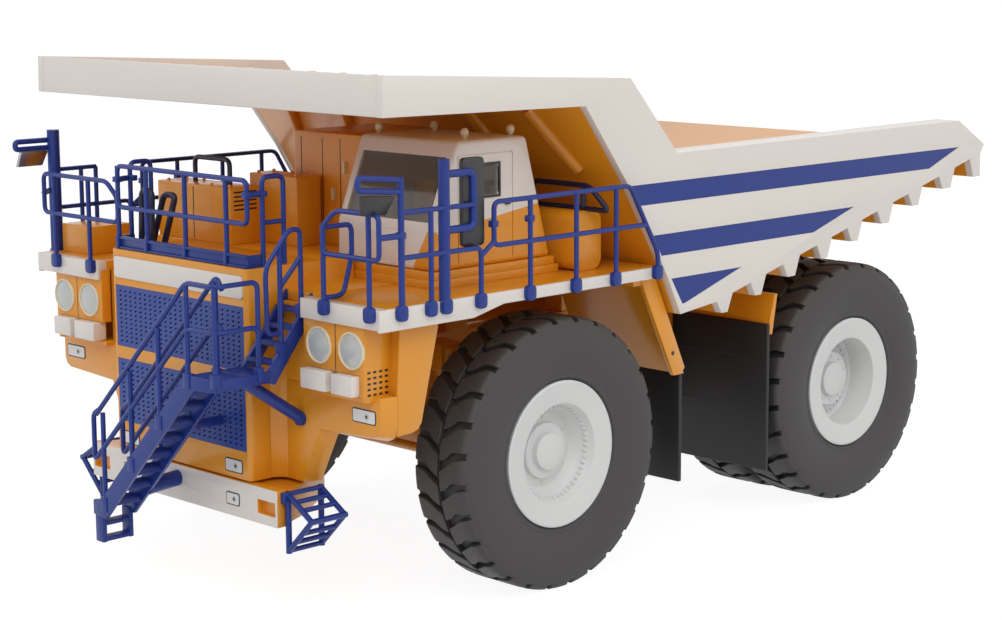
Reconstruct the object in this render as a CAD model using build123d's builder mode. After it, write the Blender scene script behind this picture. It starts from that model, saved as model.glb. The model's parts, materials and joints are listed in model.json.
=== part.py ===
from build123d import *
import math
import os

os.makedirs("parts", exist_ok=True)

# A 1:50 model of a rigid mining dump truck, in millimetres, standing on z = 0.
# The front faces -Y, +X is the driver's side, and the origin is on the ground
# under the middle of the truck. Lengths "from the axle" run along Y from the front axle.
FRONT_AXLE = -45.4
WHEELBASE = 122.4
REAR_AXLE = FRONT_AXLE + WHEELBASE

# Gaps between pieces
RUN_GAP = 0.05
SEAT_GAP = 0.2
PIVOT_GAP = 0.3
SIDE_GAP = 0.4

# Tyres and rims
TYRE_R = 34.2
TYRE_W = 18.8
LUG_DEPTH = 1.6
LUG_COUNT = 22
BEAD_R = 17.2
BEAD_W = 15.0
RIM_WALL = 1.5
RIM_FLANGE = 0.9
FLANGE_R = 18.4
FRONT_WHEEL_X = 56.7
REAR_OUTER_X = 53.7
TWIN_GAP = 2.6
REAR_INNER_X = REAR_OUTER_X - TYRE_W - TWIN_GAP
SPINDLE_R = 3.0

# Frame rails
RAIL_IN = 10.0
RAIL_OUT = 17.0
RAIL_FRONT = FRONT_AXLE - 62.0
RAIL_TOP = 58.0
RAIL_BOTTOM = 41.0
SILL_FRONT = FRONT_AXLE + 50.0
SILL_REAR = FRONT_AXLE + 128.0
SILL_REAR_Z = 65.0
PIVOT_Y = FRONT_AXLE + 138.0
PIVOT_Z = 64.0
PIVOT_R = 2.4
PIVOT_BOSS_R = 4.8
EAR_W = 2.6

# Decks and hood
DECK_TOP = 78.0
DECK_T = 2.4
DECK_IN = 41.0
DECK_OUT = 68.0
DECK_FRONT = FRONT_AXLE - 59.6
DECK_REAR = FRONT_AXLE + 32.0
GAP_FLOOR_FRONT = FRONT_AXLE - 57.0
EDGE_T = 1.0
EDGE_LOW = 72.9
EDGE_HIGH_LOW = 75.1
HOOD_HALF = 27.4
HOOD_FRONT = FRONT_AXLE - 67.4
HOOD_REAR = FRONT_AXLE - 44.0
HOOD_TOP = 83.5
HOOD_BOTTOM = 32.6
HOOD_WALL = 2.0
GRILLE_HALF = 26.0
BUMPER_HALF = 37.8
BUMPER_FRONT = FRONT_AXLE - 68.1
BUMPER_LOW = 23.3
BUMPER_HIGH = 32.2
BUMPER_T = 3.0

# Cab and cabinets
CAB_IN = 20.0
CAB_OUT = 55.0
CAB_WALL = 1.4
CAB_TOP = 112.4
CABINET_TOP = 111.8

# Dump body
BODY_HALF = 68.5
SIDE_T = 2.2
FLOOR_T = 3.0
FLOOR_SLOPE = 0.25
FLOOR_START = FRONT_AXLE + 54.3
FLOOR_START_Z = 66.1
TAIL = FRONT_AXLE + 176.4
CANOPY_FRONT = FRONT_AXLE - 60.4
STRIPE_T = 0.6

# Rails and stairs
BAR_R = 0.6
BAR_SIDES = 6
RAIL_X = 69.7
RAIL_HIGH = 99.5
RAIL_MID = 89.3


def floor_low(y):
    """Height of the dump floor's underside at a place along the truck."""
    return FLOOR_START_Z + FLOOR_SLOPE * (y - FLOOR_START)


def block(x0, x1, y0, y1, z0, z1, mode=Mode.ADD):
    """A box between two corners, in the part being built."""
    with Locations(((x0 + x1) / 2, (y0 + y1) / 2, (z0 + z1) / 2)):
        Box(x1 - x0, y1 - y0, z1 - z0, mode=mode)


def plate(plane, points, thickness, mode=Mode.ADD):
    """A flat outline of straight edges, extruded from its plane."""
    with BuildSketch(plane) as outline:
        with BuildLine():
            Polyline(*points, close=True)
        make_face()
    extrude(outline.sketch, amount=thickness, mode=mode)


def across(points, x0, x1, mode=Mode.ADD):
    """A side outline of (y, z) points, extruded across the truck from x0 to x1."""
    plate(Plane.YZ.offset(x0), points, x1 - x0, mode)


def from_axle(table):
    """Points given as (y from the front axle, z), in the truck's own frame."""
    return [(FRONT_AXLE + y, z) for y, z in table]


def bar(start, end, radius=BAR_R):
    """A straight rail bar with a six-sided section between two points."""
    start, end = Vector(*start), Vector(*end)
    with BuildSketch(Plane(origin=start, z_dir=end - start)) as section:
        RegularPolygon(radius, BAR_SIDES)
    extrude(section.sketch, amount=(end - start).length)


def bars(points, radius=BAR_R):
    """Rail bars from point to point."""
    for start, end in zip(points, points[1:]):
        bar(start, end, radius)


def rod(start, end, radius, mode=Mode.ADD):
    """A round rod between two points."""
    start, end = Vector(*start), Vector(*end)
    with BuildSketch(Plane(origin=start, z_dir=end - start)) as section:
        Circle(radius)
    extrude(section.sketch, amount=(end - start).length, mode=mode)


def save(part, name):
    part.label = name
    export_step(part, f"parts/{name}.step")


def sides():
    """The two sides of the truck: a name and the sign of X."""
    return (("left", 1), ("right", -1))


# Frame: two box rails with cross tubes, the nose carrier, and the tipping pin's bosses.
# Rail outline columns: y from the axle, z
RAIL_OUTLINE = [
    (-62, RAIL_BOTTOM), (-62, RAIL_TOP), (50, RAIL_TOP), (128, SILL_REAR_Z), (143, 66.5),
    (143, 50), (106, 47), (92, 36), (60, 36), (24, RAIL_BOTTOM),
]
# Cross tube columns: y from the axle, z, radius
CROSS_TUBES = [(-40, 50, 4.0), (30, 49, 4.5), (70, 45, 4.5), (112, 55, 4.0)]
HOIST_X = 22.0
HOIST_FOOT_Y = FRONT_AXLE + 70.0
HOIST_FOOT_Z = 28.0
HOIST_HEAD_Y = FRONT_AXLE + 79.0
HOIST_HEAD_Z = 66.0
HOIST_PIN_R = 1.5
with BuildPart() as frame_rails:
    for name, sign in sides():
        low, high = sorted((sign * RAIL_IN, sign * RAIL_OUT))
        across(from_axle(RAIL_OUTLINE), low, high)
        rod((low, PIVOT_Y, PIVOT_Z), (high, PIVOT_Y, PIVOT_Z), PIVOT_BOSS_R)
        across(
            [
                (HOIST_FOOT_Y - 6, 37), (HOIST_FOOT_Y - 3, HOIST_FOOT_Z - 3),
                (HOIST_FOOT_Y + 3, HOIST_FOOT_Z - 3), (HOIST_FOOT_Y + 6, 37),
            ],
            low, high,
        )
        rod(
            (sign * RAIL_IN, HOIST_FOOT_Y, HOIST_FOOT_Z),
            (sign * (HOIST_X + 4.4), HOIST_FOOT_Y, HOIST_FOOT_Z), HOIST_PIN_R,
        )
    for y, z, radius in CROSS_TUBES:
        rod((-RAIL_IN, FRONT_AXLE + y, z), (RAIL_IN, FRONT_AXLE + y, z), radius)
    PIN_END = RAIL_OUT + SIDE_GAP + EAR_W + SIDE_GAP
    rod((-PIN_END, PIVOT_Y, PIVOT_Z), (PIN_END, PIVOT_Y, PIVOT_Z), PIVOT_R)
save(frame_rails.part, "frame_rails")

# Bumper: a deep front beam on a tapering carrier under the nose.
# Carrier columns: x, y from the bumper's back
with BuildPart() as bumper:
    block(-BUMPER_HALF, BUMPER_HALF, BUMPER_FRONT, BUMPER_FRONT + BUMPER_T, BUMPER_LOW, BUMPER_HIGH)
    back = BUMPER_FRONT + BUMPER_T
    plate(
        Plane.XY.offset(BUMPER_LOW + 0.5),
        [
            (-BUMPER_HALF, back), (BUMPER_HALF, back), (34, back + 8),
            (RAIL_OUT + 6, back + 24), (-RAIL_OUT - 6, back + 24), (-34, back + 8),
        ],
        BUMPER_HIGH - BUMPER_LOW - 0.9,
    )
    for name, sign in sides():
        low, high = sorted((sign * RAIL_IN, sign * RAIL_OUT))
        across(
            [
                (back, BUMPER_HIGH - 0.4), (back + 24, BUMPER_HIGH - 0.4),
                (back + 24, RAIL_BOTTOM), (back + 8, RAIL_BOTTOM),
            ],
            low, high,
        )
        low, high = sorted((sign * 30.4, sign * 37.2))
        block(low, high, BUMPER_FRONT, BUMPER_FRONT + 2.0, 25.8, 29.2, Mode.SUBTRACT)
save(bumper.part, "bumper")

# Hood: a box that is open at the bottom, with the two grille openings in its front.
GRILLES = {"upper": (58.9, 74.5), "lower": (39.6, 55.8)}
PLATE_LOW = 76.4
PLATE_HIGH = 81.8
with BuildPart() as hood:
    block(-HOOD_HALF, HOOD_HALF, HOOD_FRONT, HOOD_REAR, HOOD_BOTTOM, HOOD_TOP)
    fillet(hood.edges().filter_by(Axis.Z).group_by(Axis.Y)[0], 1.2)
    inside = HOOD_HALF - HOOD_WALL
    block(
        -inside, inside, HOOD_FRONT + HOOD_WALL, HOOD_REAR + 1,
        RAIL_TOP + 0.3, HOOD_TOP - HOOD_WALL, Mode.SUBTRACT,
    )
    block(
        -inside, inside, HOOD_FRONT + HOOD_WALL, HOOD_REAR + 1,
        HOOD_BOTTOM - 1, RAIL_TOP + 1, Mode.SUBTRACT,
    )
    for low, high in GRILLES.values():
        block(-GRILLE_HALF, GRILLE_HALF, HOOD_FRONT - 1, HOOD_FRONT + 1.0, low, high, Mode.SUBTRACT)
    block(-GRILLE_HALF, GRILLE_HALF, HOOD_FRONT - 1, HOOD_FRONT + 0.4, PLATE_LOW, PLATE_HIGH, Mode.SUBTRACT)
    for name, sign in sides():
        low, high = sorted((sign * RAIL_OUT, sign * HOOD_HALF))
        block(low, high, HOOD_REAR - 4, HOOD_REAR, 44, 50)
save(hood.part, "hood")

for name, (low, high) in GRILLES.items():
    with BuildPart() as grille:
        block(-GRILLE_HALF, GRILLE_HALF, HOOD_FRONT + 0.1, HOOD_FRONT + 1.0, low, high)
    save(grille.part, f"grille_{name}")

with BuildPart() as hood_plate:
    block(-GRILLE_HALF, GRILLE_HALF, HOOD_FRONT - 0.3, HOOD_FRONT + 0.4, PLATE_LOW, PLATE_HIGH)
save(hood_plate.part, "hood_plate")

# Decks: plates beside the hood with the fender panels that hang from them, and the middle floor.
# Lamp side panel columns: y from the axle, z
LAMP_PANEL = [
    (-61.5, 57), (-61.5, DECK_TOP - DECK_T), (-41.0, DECK_TOP - DECK_T), (-41.2, 71.2),
    (-46.5, 49.9), (-48.5, 47.7), (-54, 47.4), (-57.5, 49.5), (-58, 57),
]
FENDER_ARCH_R = 40.5
FENDER_X = 62.0
for name, sign in sides():
    with BuildPart() as deck:
        low, high = sorted((sign * DECK_IN, sign * DECK_OUT))
        block(low, high, DECK_FRONT, DECK_REAR, DECK_TOP - DECK_T, DECK_TOP)
        low, high = sorted((sign * DECK_IN, sign * FENDER_X))
        block(low, high, FRONT_AXLE - 61.5, DECK_FRONT + 0.8, 62, DECK_TOP - DECK_T)
        low, high = sorted((sign * (FENDER_X - 1.6), sign * FENDER_X))
        across(from_axle(LAMP_PANEL), low, high)
        low, high = sorted((sign * DECK_IN, sign * (FENDER_X - 1.0)))
        across(
            from_axle([(-42.8, DECK_TOP - DECK_T), (-41.2, DECK_TOP - DECK_T), (-41.4, 71), (-46.7, 50), (-48.3, 50), (-43, 71)]),
            low, high,
        )
        low, high = sorted((sign * 30, sign * 65))
        across(from_axle([(32.7, 74.5), (34.1, 74.5), (45.9, 48.0), (44.5, 48.0)]), low, high)
        low, high = sorted((sign * RAIL_OUT, sign * 65))
        block(low, high, FRONT_AXLE + 26, FRONT_AXLE + 33.2, 73, DECK_TOP - DECK_T + 0.1)
    save(deck.part, f"deck_{name}")

with BuildPart() as middle_floor:
    block(-DECK_IN, DECK_IN, HOOD_REAR, FRONT_AXLE + 22, DECK_TOP - DECK_T, DECK_TOP)
    block(-DECK_IN, HOOD_HALF, HOOD_REAR, FRONT_AXLE - 34, DECK_TOP, HOOD_TOP)
    block(-DECK_IN, CAB_IN - PIVOT_GAP, FRONT_AXLE - 34, FRONT_AXLE - 25, DECK_TOP, HOOD_TOP)
    for name, sign in sides():
        low, high = sorted((sign * HOOD_HALF, sign * DECK_IN))
        block(low, high, GAP_FLOOR_FRONT, HOOD_REAR, DECK_TOP - DECK_T, DECK_TOP)
        low, high = sorted((sign * RAIL_IN, sign * RAIL_OUT))
        for y in (-30, 10):
            block(low, high, FRONT_AXLE + y - 4, FRONT_AXLE + y + 4, RAIL_TOP, DECK_TOP - DECK_T)
save(middle_floor.part, "middle_floor")

# White edge bands round the decks: front and side, with the stepped lower edge.
# Edge band columns: y from the axle, z
EDGE_OUTLINE = [
    (-62.5, EDGE_LOW), (-62.5, DECK_TOP), (32, DECK_TOP), (32, EDGE_HIGH_LOW),
    (-23.6, EDGE_HIGH_LOW), (-33.5, EDGE_LOW),
]
for name, sign in sides():
    with BuildPart() as edge_band:
        low, high = sorted((sign * DECK_OUT, sign * (DECK_OUT + EDGE_T)))
        across(from_axle(EDGE_OUTLINE), low, high)
        low, high = sorted((sign * DECK_IN, sign * DECK_OUT))
        block(low, high, FRONT_AXLE - 61.5 - EDGE_T, FRONT_AXLE - 61.5, 73.3, DECK_TOP)
        block(low, high, FRONT_AXLE - 61.5, DECK_FRONT, 75.6, DECK_TOP)
    save(edge_band.part, f"edge_band_{name}")

# Head lamps: a box for two round lamps over two pale blocks, on each side.
# Lamp columns: x
LAMPS = [46.6, 58.0]
LAMP_R = 3.9
with BuildPart() as lamps:
    for name, sign in sides():
        for x in LAMPS:
            rod((sign * x, FRONT_AXLE - 61.5, 67.5), (sign * x, FRONT_AXLE - 61.9, 67.5), LAMP_R)
            rod((sign * x, FRONT_AXLE - 61.8, 67.5), (sign * x, FRONT_AXLE - 62.3, 67.5), LAMP_R - 0.7)
save(lamps.part, "lamps")

with BuildPart() as lamp_blocks:
    for name, sign in sides():
        for x0, x1 in ((42.1, 51.0), (53.0, FENDER_X - 1.6)):
            low, high = sorted((sign * x0, sign * x1))
            block(low, high, FRONT_AXLE - 63.8, FRONT_AXLE - 59.7, 57.2, 61.9)
save(lamp_blocks.part, "lamp_blocks")

# Cab: a hollow shell with its windows cut, on the driver's side.
# Cab outline columns: y from the axle, z
CAB_OUTLINE = [(-33.2, DECK_TOP), (-33.0, 92), (-25.0, CAB_TOP), (-1.9, CAB_TOP), (7.3, DECK_TOP)]
# Window columns: x low, x high, y low and high from the axle, z low, z high
WINDOWS = [
    (22.5, 52.5, -36, -26, 93.5, 109.0),
    (CAB_OUT - 3, CAB_OUT + 1, -23.0, -9.5, 96.5, 108.0),
    (CAB_IN - 1, CAB_IN + 3, -23.0, -9.5, 96.5, 108.0),
]
GLASS_T = 0.5


def inset_across(points, inset, x0, x1, mode=Mode.ADD):
    """A side outline moved inwards, extruded across the truck from x0 to x1."""
    with BuildSketch(Plane.YZ.offset(x0)) as outline:
        with BuildLine():
            Polyline(*points, close=True)
        make_face()
        offset(amount=-inset, kind=Kind.INTERSECTION)
    extrude(outline.sketch, amount=x1 - x0, mode=mode)


with BuildPart() as cab:
    across(from_axle(CAB_OUTLINE), CAB_IN, CAB_OUT)
    inset_across(from_axle(CAB_OUTLINE), CAB_WALL, CAB_IN + CAB_WALL, CAB_OUT - CAB_WALL, Mode.SUBTRACT)
    for x0, x1, y0, y1, z0, z1 in WINDOWS:
        block(x0, x1, FRONT_AXLE + y0, FRONT_AXLE + y1, z0, z1, Mode.SUBTRACT)
save(cab.part, "cab")

with BuildPart() as cab_glass:
    glass_in = (CAB_WALL + GLASS_T) / 2
    glass_out = (CAB_WALL - GLASS_T) / 2
    inset_across(from_axle(CAB_OUTLINE), glass_out, CAB_IN + glass_out, CAB_OUT - glass_out)
    inset_across(from_axle(CAB_OUTLINE), glass_in, CAB_IN + glass_in, CAB_OUT - glass_in, Mode.SUBTRACT)
    with BuildPart(mode=Mode.PRIVATE) as openings:
        for x0, x1, y0, y1, z0, z1 in WINDOWS:
            block(x0, x1, FRONT_AXLE + y0, FRONT_AXLE + y1, z0, z1)
    add(openings.part, mode=Mode.INTERSECT)
save(cab_glass.part, "cab_glass")

SEAT_FLOOR = DECK_TOP + CAB_WALL
with BuildPart() as seats:
    for x in (44.0, 30.0):
        block(x - 3, x + 3, FRONT_AXLE - 21, FRONT_AXLE - 13, SEAT_FLOOR, SEAT_FLOOR + 7)
        across(
            from_axle([
                (-15, SEAT_FLOOR + 6), (-12.8, SEAT_FLOOR + 6), (-11, SEAT_FLOOR + 21), (-13, SEAT_FLOOR + 21),
            ]),
            x - 3.5, x + 3.5,
        )
save(seats.part, "seats")

# Tall cabinet beside the cab, and the equipment boxes on the decks.
with BuildPart() as cabinet:
    block(-6.5, CAB_IN - PIVOT_GAP, FRONT_AXLE - 24.5, FRONT_AXLE + 5, DECK_TOP, CABINET_TOP)
save(cabinet.part, "cabinet")

# Box columns: name, x low, x high, y low and high from the axle, z low, z high
BOXES = [
    ("front_box", -40, -9, -43.6, -34.2, HOOD_TOP, 98.0),
    ("side_box", -14, 5, -33.5, -25.6, HOOD_TOP, 101.0),
    ("corner_box", -66, -53, -56.5, -43.5, DECK_TOP, 85.5),
]
for name, x0, x1, y0, y1, z0, z1 in BOXES:
    with BuildPart() as box:
        block(x0, x1, FRONT_AXLE + y0, FRONT_AXLE + y1, z0, z1)
    save(box.part, name)

with BuildPart() as tank:
    block(40, 60, FRONT_AXLE + 9.5, FRONT_AXLE + 19.5, DECK_TOP, 93)
    fillet(tank.edges().filter_by(Axis.X), 3)
save(tank.part, "tank")

# Railings on the decks' edges, with the mirror masts, and the hood's own railing.
# Side post columns: y from the axle, top z
SIDE_POSTS = [
    (-56.5, 107.0), (-47.5, RAIL_HIGH), (-42.8, 110.5), (-31.8, 89.4), (-15.6, RAIL_HIGH),
    (0.2, RAIL_HIGH), (14.4, RAIL_HIGH),
]
FRONT_RAIL_Y = FRONT_AXLE - 63.1
FOOT_W = 1.3
FOOT_LOW = 75.0
FOOT_HIGH = 78.6
MIRROR_T = 1.4
for name, sign in sides():
    x = sign * RAIL_X
    with BuildPart() as railing:
        for y, top in SIDE_POSTS:
            bar((x, FRONT_AXLE + y, FOOT_LOW), (x, FRONT_AXLE + y, top))
        for y in [post[0] for post in SIDE_POSTS] + [30.0]:
            low, high = sorted((sign * (DECK_OUT + EDGE_T), sign * (RAIL_X + 0.6)))
            block(low, high, FRONT_AXLE + y - FOOT_W, FRONT_AXLE + y + FOOT_W, FOOT_LOW, FOOT_HIGH)
        bars([(x, FRONT_RAIL_Y, RAIL_HIGH), (x, FRONT_AXLE - 42.8, RAIL_HIGH)])
        bars([(x, FRONT_RAIL_Y, RAIL_MID), (x, FRONT_AXLE - 42.8, RAIL_MID)])
        bars([
            (x, FRONT_AXLE - 27.6, RAIL_MID), (x, FRONT_AXLE - 27.6, RAIL_HIGH),
            (x, FRONT_AXLE + 19.4, RAIL_HIGH), (x, FRONT_AXLE + 30.0, 81.8), (x, FRONT_AXLE + 30.0, FOOT_LOW),
        ])
        bars([(x, FRONT_AXLE - 31.8, RAIL_MID), (x, FRONT_AXLE + 25.5, RAIL_MID)])
        for post_x in (47.2, 63.0):
            bar((sign * post_x, FRONT_RAIL_Y, 76), (sign * post_x, FRONT_RAIL_Y, RAIL_HIGH))
            block(
                sign * post_x - FOOT_W, sign * post_x + FOOT_W,
                FRONT_RAIL_Y - 0.6, FRONT_AXLE - 62.5, FOOT_LOW, FOOT_HIGH,
            )
        bars([(sign * 44.5, FRONT_RAIL_Y, 95.4), (sign * 47.2, FRONT_RAIL_Y, RAIL_HIGH), (x, FRONT_RAIL_Y, RAIL_HIGH)])
        bars([(sign * 44.5, FRONT_RAIL_Y, 95.4), (sign * 44.5, FRONT_RAIL_Y, RAIL_MID), (x, FRONT_RAIL_Y, RAIL_MID)])
        bars([(x, FRONT_RAIL_Y, RAIL_MID), (x, FRONT_RAIL_Y, RAIL_HIGH)])
        bar((x, FRONT_AXLE - 42.8, 109.8), (x, FRONT_AXLE - 36.5, 109.8))
        bar((x, FRONT_AXLE - 42.8, 90.4), (x, FRONT_AXLE - 36.5, 90.4))
    save(railing.part, f"railing_{name}")
    with BuildPart() as mirror:
        block(x - MIRROR_T / 2, x + MIRROR_T / 2, FRONT_AXLE - 36.5, FRONT_AXLE - 29.0, 90.0, 110.2)
    save(mirror.part, f"mirror_{name}")

HOOD_RAIL_Y = HOOD_FRONT + 1.4
HOOD_RAIL_HIGH = 104.3
HOOD_RAIL_MID = 94.0
HOOD_RAIL_X = HOOD_HALF - 0.8
with BuildPart() as hood_railing:
    block(-HOOD_RAIL_X, HOOD_RAIL_X, HOOD_RAIL_Y - 0.5, HOOD_RAIL_Y + 0.5, HOOD_TOP, HOOD_TOP + 3.0)
    for x in (-25.0, -13.5, 2.3, 18.5):
        bar((x, HOOD_RAIL_Y, HOOD_TOP), (x, HOOD_RAIL_Y, HOOD_RAIL_HIGH))
    for z in (HOOD_RAIL_MID, HOOD_RAIL_HIGH):
        bar((-25.6, HOOD_RAIL_Y, z), (HOOD_RAIL_X, HOOD_RAIL_Y, z))
    bar((HOOD_RAIL_X, HOOD_RAIL_Y, HOOD_RAIL_MID), (HOOD_RAIL_X, HOOD_RAIL_Y, HOOD_RAIL_HIGH))
    bars([
        (HOOD_RAIL_X, HOOD_RAIL_Y + 4, HOOD_TOP), (HOOD_RAIL_X, HOOD_RAIL_Y + 4, HOOD_RAIL_HIGH),
        (HOOD_RAIL_X, HOOD_RAIL_Y + 12, HOOD_RAIL_HIGH), (HOOD_RAIL_X, HOOD_RAIL_Y + 12, HOOD_TOP),
    ])
    bar((HOOD_RAIL_X, HOOD_RAIL_Y + 4, HOOD_RAIL_MID), (HOOD_RAIL_X, HOOD_RAIL_Y + 12, HOOD_RAIL_MID))
    bar((HOOD_RAIL_X, HOOD_RAIL_Y, HOOD_RAIL_HIGH - 3), (HOOD_RAIL_X, HOOD_RAIL_Y + 4, HOOD_RAIL_HIGH - 3))
save(hood_railing.part, "hood_railing")

# Stairs: the lower flight climbs across the front, the upper one back to the deck.
STAIR_FRONT = FRONT_AXLE - 86.6
STAIR_BACK = FRONT_AXLE - 77.0
STAIR_LOW_X = -7.0
STAIR_LOW_Z = 25.0
LANDING_Z = 61.2
LANDING_IN = 28.8
LANDING_OUT = 39.8
LANDING_BACK = FRONT_AXLE - 70.5
STRINGER_T = 1.0
STRINGER_H = 3.6
TREAD_T = 0.8
LOWER_TREADS = 9
UPPER_TREADS = 4
HAND_H = 21.5
MID_H = 11.0
STAIR_SLOPE = (LANDING_Z - STAIR_LOW_Z) / (LANDING_IN - STAIR_LOW_X)
with BuildPart() as lower_stair:
    for y in (STAIR_FRONT, STAIR_BACK - STRINGER_T):
        plate(
            Plane.XZ.offset(-y),
            [
                (STAIR_LOW_X - 4, STAIR_LOW_Z), (STAIR_LOW_X, STAIR_LOW_Z), (LANDING_IN, LANDING_Z),
                (LANDING_OUT, LANDING_Z), (LANDING_OUT, LANDING_Z - 2.0), (LANDING_IN + 1, LANDING_Z - 2.4),
                (STAIR_LOW_X, STAIR_LOW_Z - STRINGER_H), (STAIR_LOW_X - 4, STAIR_LOW_Z - STRINGER_H),
            ],
            -STRINGER_T,
        )
    for step in range(LOWER_TREADS):
        share = (step + 0.5) / LOWER_TREADS
        x = STAIR_LOW_X + share * (LANDING_IN - STAIR_LOW_X)
        z = STAIR_LOW_Z + share * (LANDING_Z - STAIR_LOW_Z)
        block(x - 2.2, x + 1.8, STAIR_FRONT, STAIR_BACK, z - TREAD_T - 1, z - 1)
    block(STAIR_LOW_X - 4, STAIR_LOW_X, STAIR_FRONT, STAIR_BACK, STAIR_LOW_Z - TREAD_T, STAIR_LOW_Z)
    block(LANDING_IN, LANDING_OUT, STAIR_FRONT, LANDING_BACK, LANDING_Z - TREAD_T, LANDING_Z)
    block(LANDING_OUT - STRINGER_T, LANDING_OUT, STAIR_FRONT, LANDING_BACK, LANDING_Z - 2.4, LANDING_Z)
    for y in (STAIR_FRONT + 0.5, STAIR_BACK - 0.5):
        for rise in (MID_H, HAND_H):
            bar((STAIR_LOW_X - 2, y, STAIR_LOW_Z + rise), (LANDING_IN + 2, y, LANDING_Z + rise + 2))
        for share in (0.02, 0.35, 0.68, 1.0):
            x = STAIR_LOW_X + share * (LANDING_IN - STAIR_LOW_X)
            z = STAIR_LOW_Z + share * (LANDING_Z - STAIR_LOW_Z)
            bar((x, y, z - 1.5), (x, y, z + HAND_H + 0.5))
    rail_x = LANDING_OUT - 0.5
    for z in (LANDING_Z + MID_H, LANDING_Z + HAND_H):
        bars([
            (LANDING_IN, STAIR_FRONT + 0.5, z), (rail_x, STAIR_FRONT + 0.5, z), (rail_x, LANDING_BACK - 3, z),
        ])
    for y in (STAIR_FRONT + 0.5, LANDING_BACK - 3):
        bar((rail_x, y, LANDING_Z - 2), (rail_x, y, LANDING_Z + HAND_H))
    x = STAIR_LOW_X - 2
    for y in (STAIR_FRONT + 0.2, STAIR_BACK - 1.4):
        block(x - 1.6, x + 1.6, y, y + 1.2, 14.6, STAIR_LOW_Z - STRINGER_H)
    for z in (14.6, 19.4):
        block(x - 1.6, x + 1.6, STAIR_FRONT + 0.2, STAIR_BACK - 0.2, z, z + 1.2)
    rod((-1, STAIR_BACK, 29), (-1, BUMPER_FRONT, 29), 1.6)
    rod((16, STAIR_BACK - 0.5, 46), (16, HOOD_FRONT + 0.1, 46), 1.2)

save(lower_stair.part, "lower_stair")

UPPER_X = (LANDING_IN + 0.1, LANDING_OUT - 0.6)
with BuildPart() as upper_stair:
    rise = DECK_TOP - LANDING_Z
    run = GAP_FLOOR_FRONT - LANDING_BACK
    for x in UPPER_X:
        across(
            [
                (LANDING_BACK, LANDING_Z), (LANDING_BACK, LANDING_Z - 2.4), (LANDING_BACK + 1.5, LANDING_Z - 2.4),
                (GAP_FLOOR_FRONT, DECK_TOP - 4.2), (GAP_FLOOR_FRONT, DECK_TOP),
            ],
            x, x + (STRINGER_T if x == UPPER_X[0] else -STRINGER_T),
        )
    for step in range(UPPER_TREADS):
        share = (step + 0.7) / (UPPER_TREADS + 0.5)
        y = LANDING_BACK + share * run
        z = LANDING_Z + share * rise
        block(UPPER_X[0], UPPER_X[1], y - 1.2, y + 1.8, z - TREAD_T - 0.4, z - 0.4)
    x = UPPER_X[1] - 0.5
    bars([
        (x, FRONT_AXLE - 66.4, 69.8), (x, FRONT_AXLE - 70.4, 69.8), (x, FRONT_AXLE - 70.6, 85.4),
        (x, FRONT_AXLE - 63.5, 93.2), (x, FRONT_AXLE - 59.3, 93.2), (x, GAP_FLOOR_FRONT - 1.2, DECK_TOP - 2),
    ])
    bar((x, FRONT_AXLE - 66.4, 65.0), (x, FRONT_AXLE - 66.4, 90.2))
    bar((x, FRONT_AXLE - 66.4, 80.6), (x, FRONT_AXLE - 58.6, 87.3))
save(upper_stair.part, "upper_stair")

# Step cages: open wedge-shaped steps beside the bumper's ends.
CAGE_OUT = 47.0
with BuildPart() as step_cages:
    for name, sign in sides():
        x = sign * (BUMPER_HALF + 0.6)
        out = sign * CAGE_OUT
        for z in (17.5, 31.2):
            bars([(x, BUMPER_FRONT + 3, z), (x, BUMPER_FRONT + 13, z)])
        for y in (BUMPER_FRONT + 3, BUMPER_FRONT + 13):
            bar((x, y, 17.0), (x, y, 31.8))
            bars([(x, y, 31.2), (out, y, 26.0), (x, y, 17.5)])
        bar((out, BUMPER_FRONT + 2.5, 26.0), (out, BUMPER_FRONT + 13.5, 26.0))
        low, high = sorted((sign * BUMPER_HALF, sign * (BUMPER_HALF + 1.2)))
        block(low, high, BUMPER_FRONT + 0.5, BUMPER_FRONT + 3.6, 29.0, 31.8)
save(step_cages.part, "step_cages")

# Guards: rubber flaps behind the front wheels and ahead of the twins, and the twins' plates.
FLAP_T = 1.2
FRONT_FLAP_Y = FRONT_AXLE + 45.9
REAR_FLAP_Y = FRONT_AXLE + 84.0
with BuildPart() as flaps:
    for name, sign in sides():
        low, high = sorted((sign * 34, sign * 64.5))
        block(low, high, FRONT_FLAP_Y - FLAP_T, FRONT_FLAP_Y, 19, 48)
        low, high = sorted((sign * 29, sign * 63.2))
        block(low, high, REAR_FLAP_Y - FLAP_T, REAR_FLAP_Y, 15, 56)
save(flaps.part, "flaps")

with BuildPart() as rear_guards:
    for name, sign in sides():
        low, high = sorted((sign * 25.5, sign * 63.0))
        across(
            [
                (REAR_FLAP_Y, 53), (REAR_FLAP_Y + 1.2, 53), (REAR_FLAP_Y + 3.2, 64),
                (REAR_FLAP_Y + 2.0, 64), (REAR_FLAP_Y, 57),
            ],
            low, high,
        )
        low, high = sorted((sign * RAIL_OUT, sign * 30))
        block(low, high, REAR_FLAP_Y + 0.1, REAR_FLAP_Y + 1.2, 40, 58)
save(rear_guards.part, "rear_guards")

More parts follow.
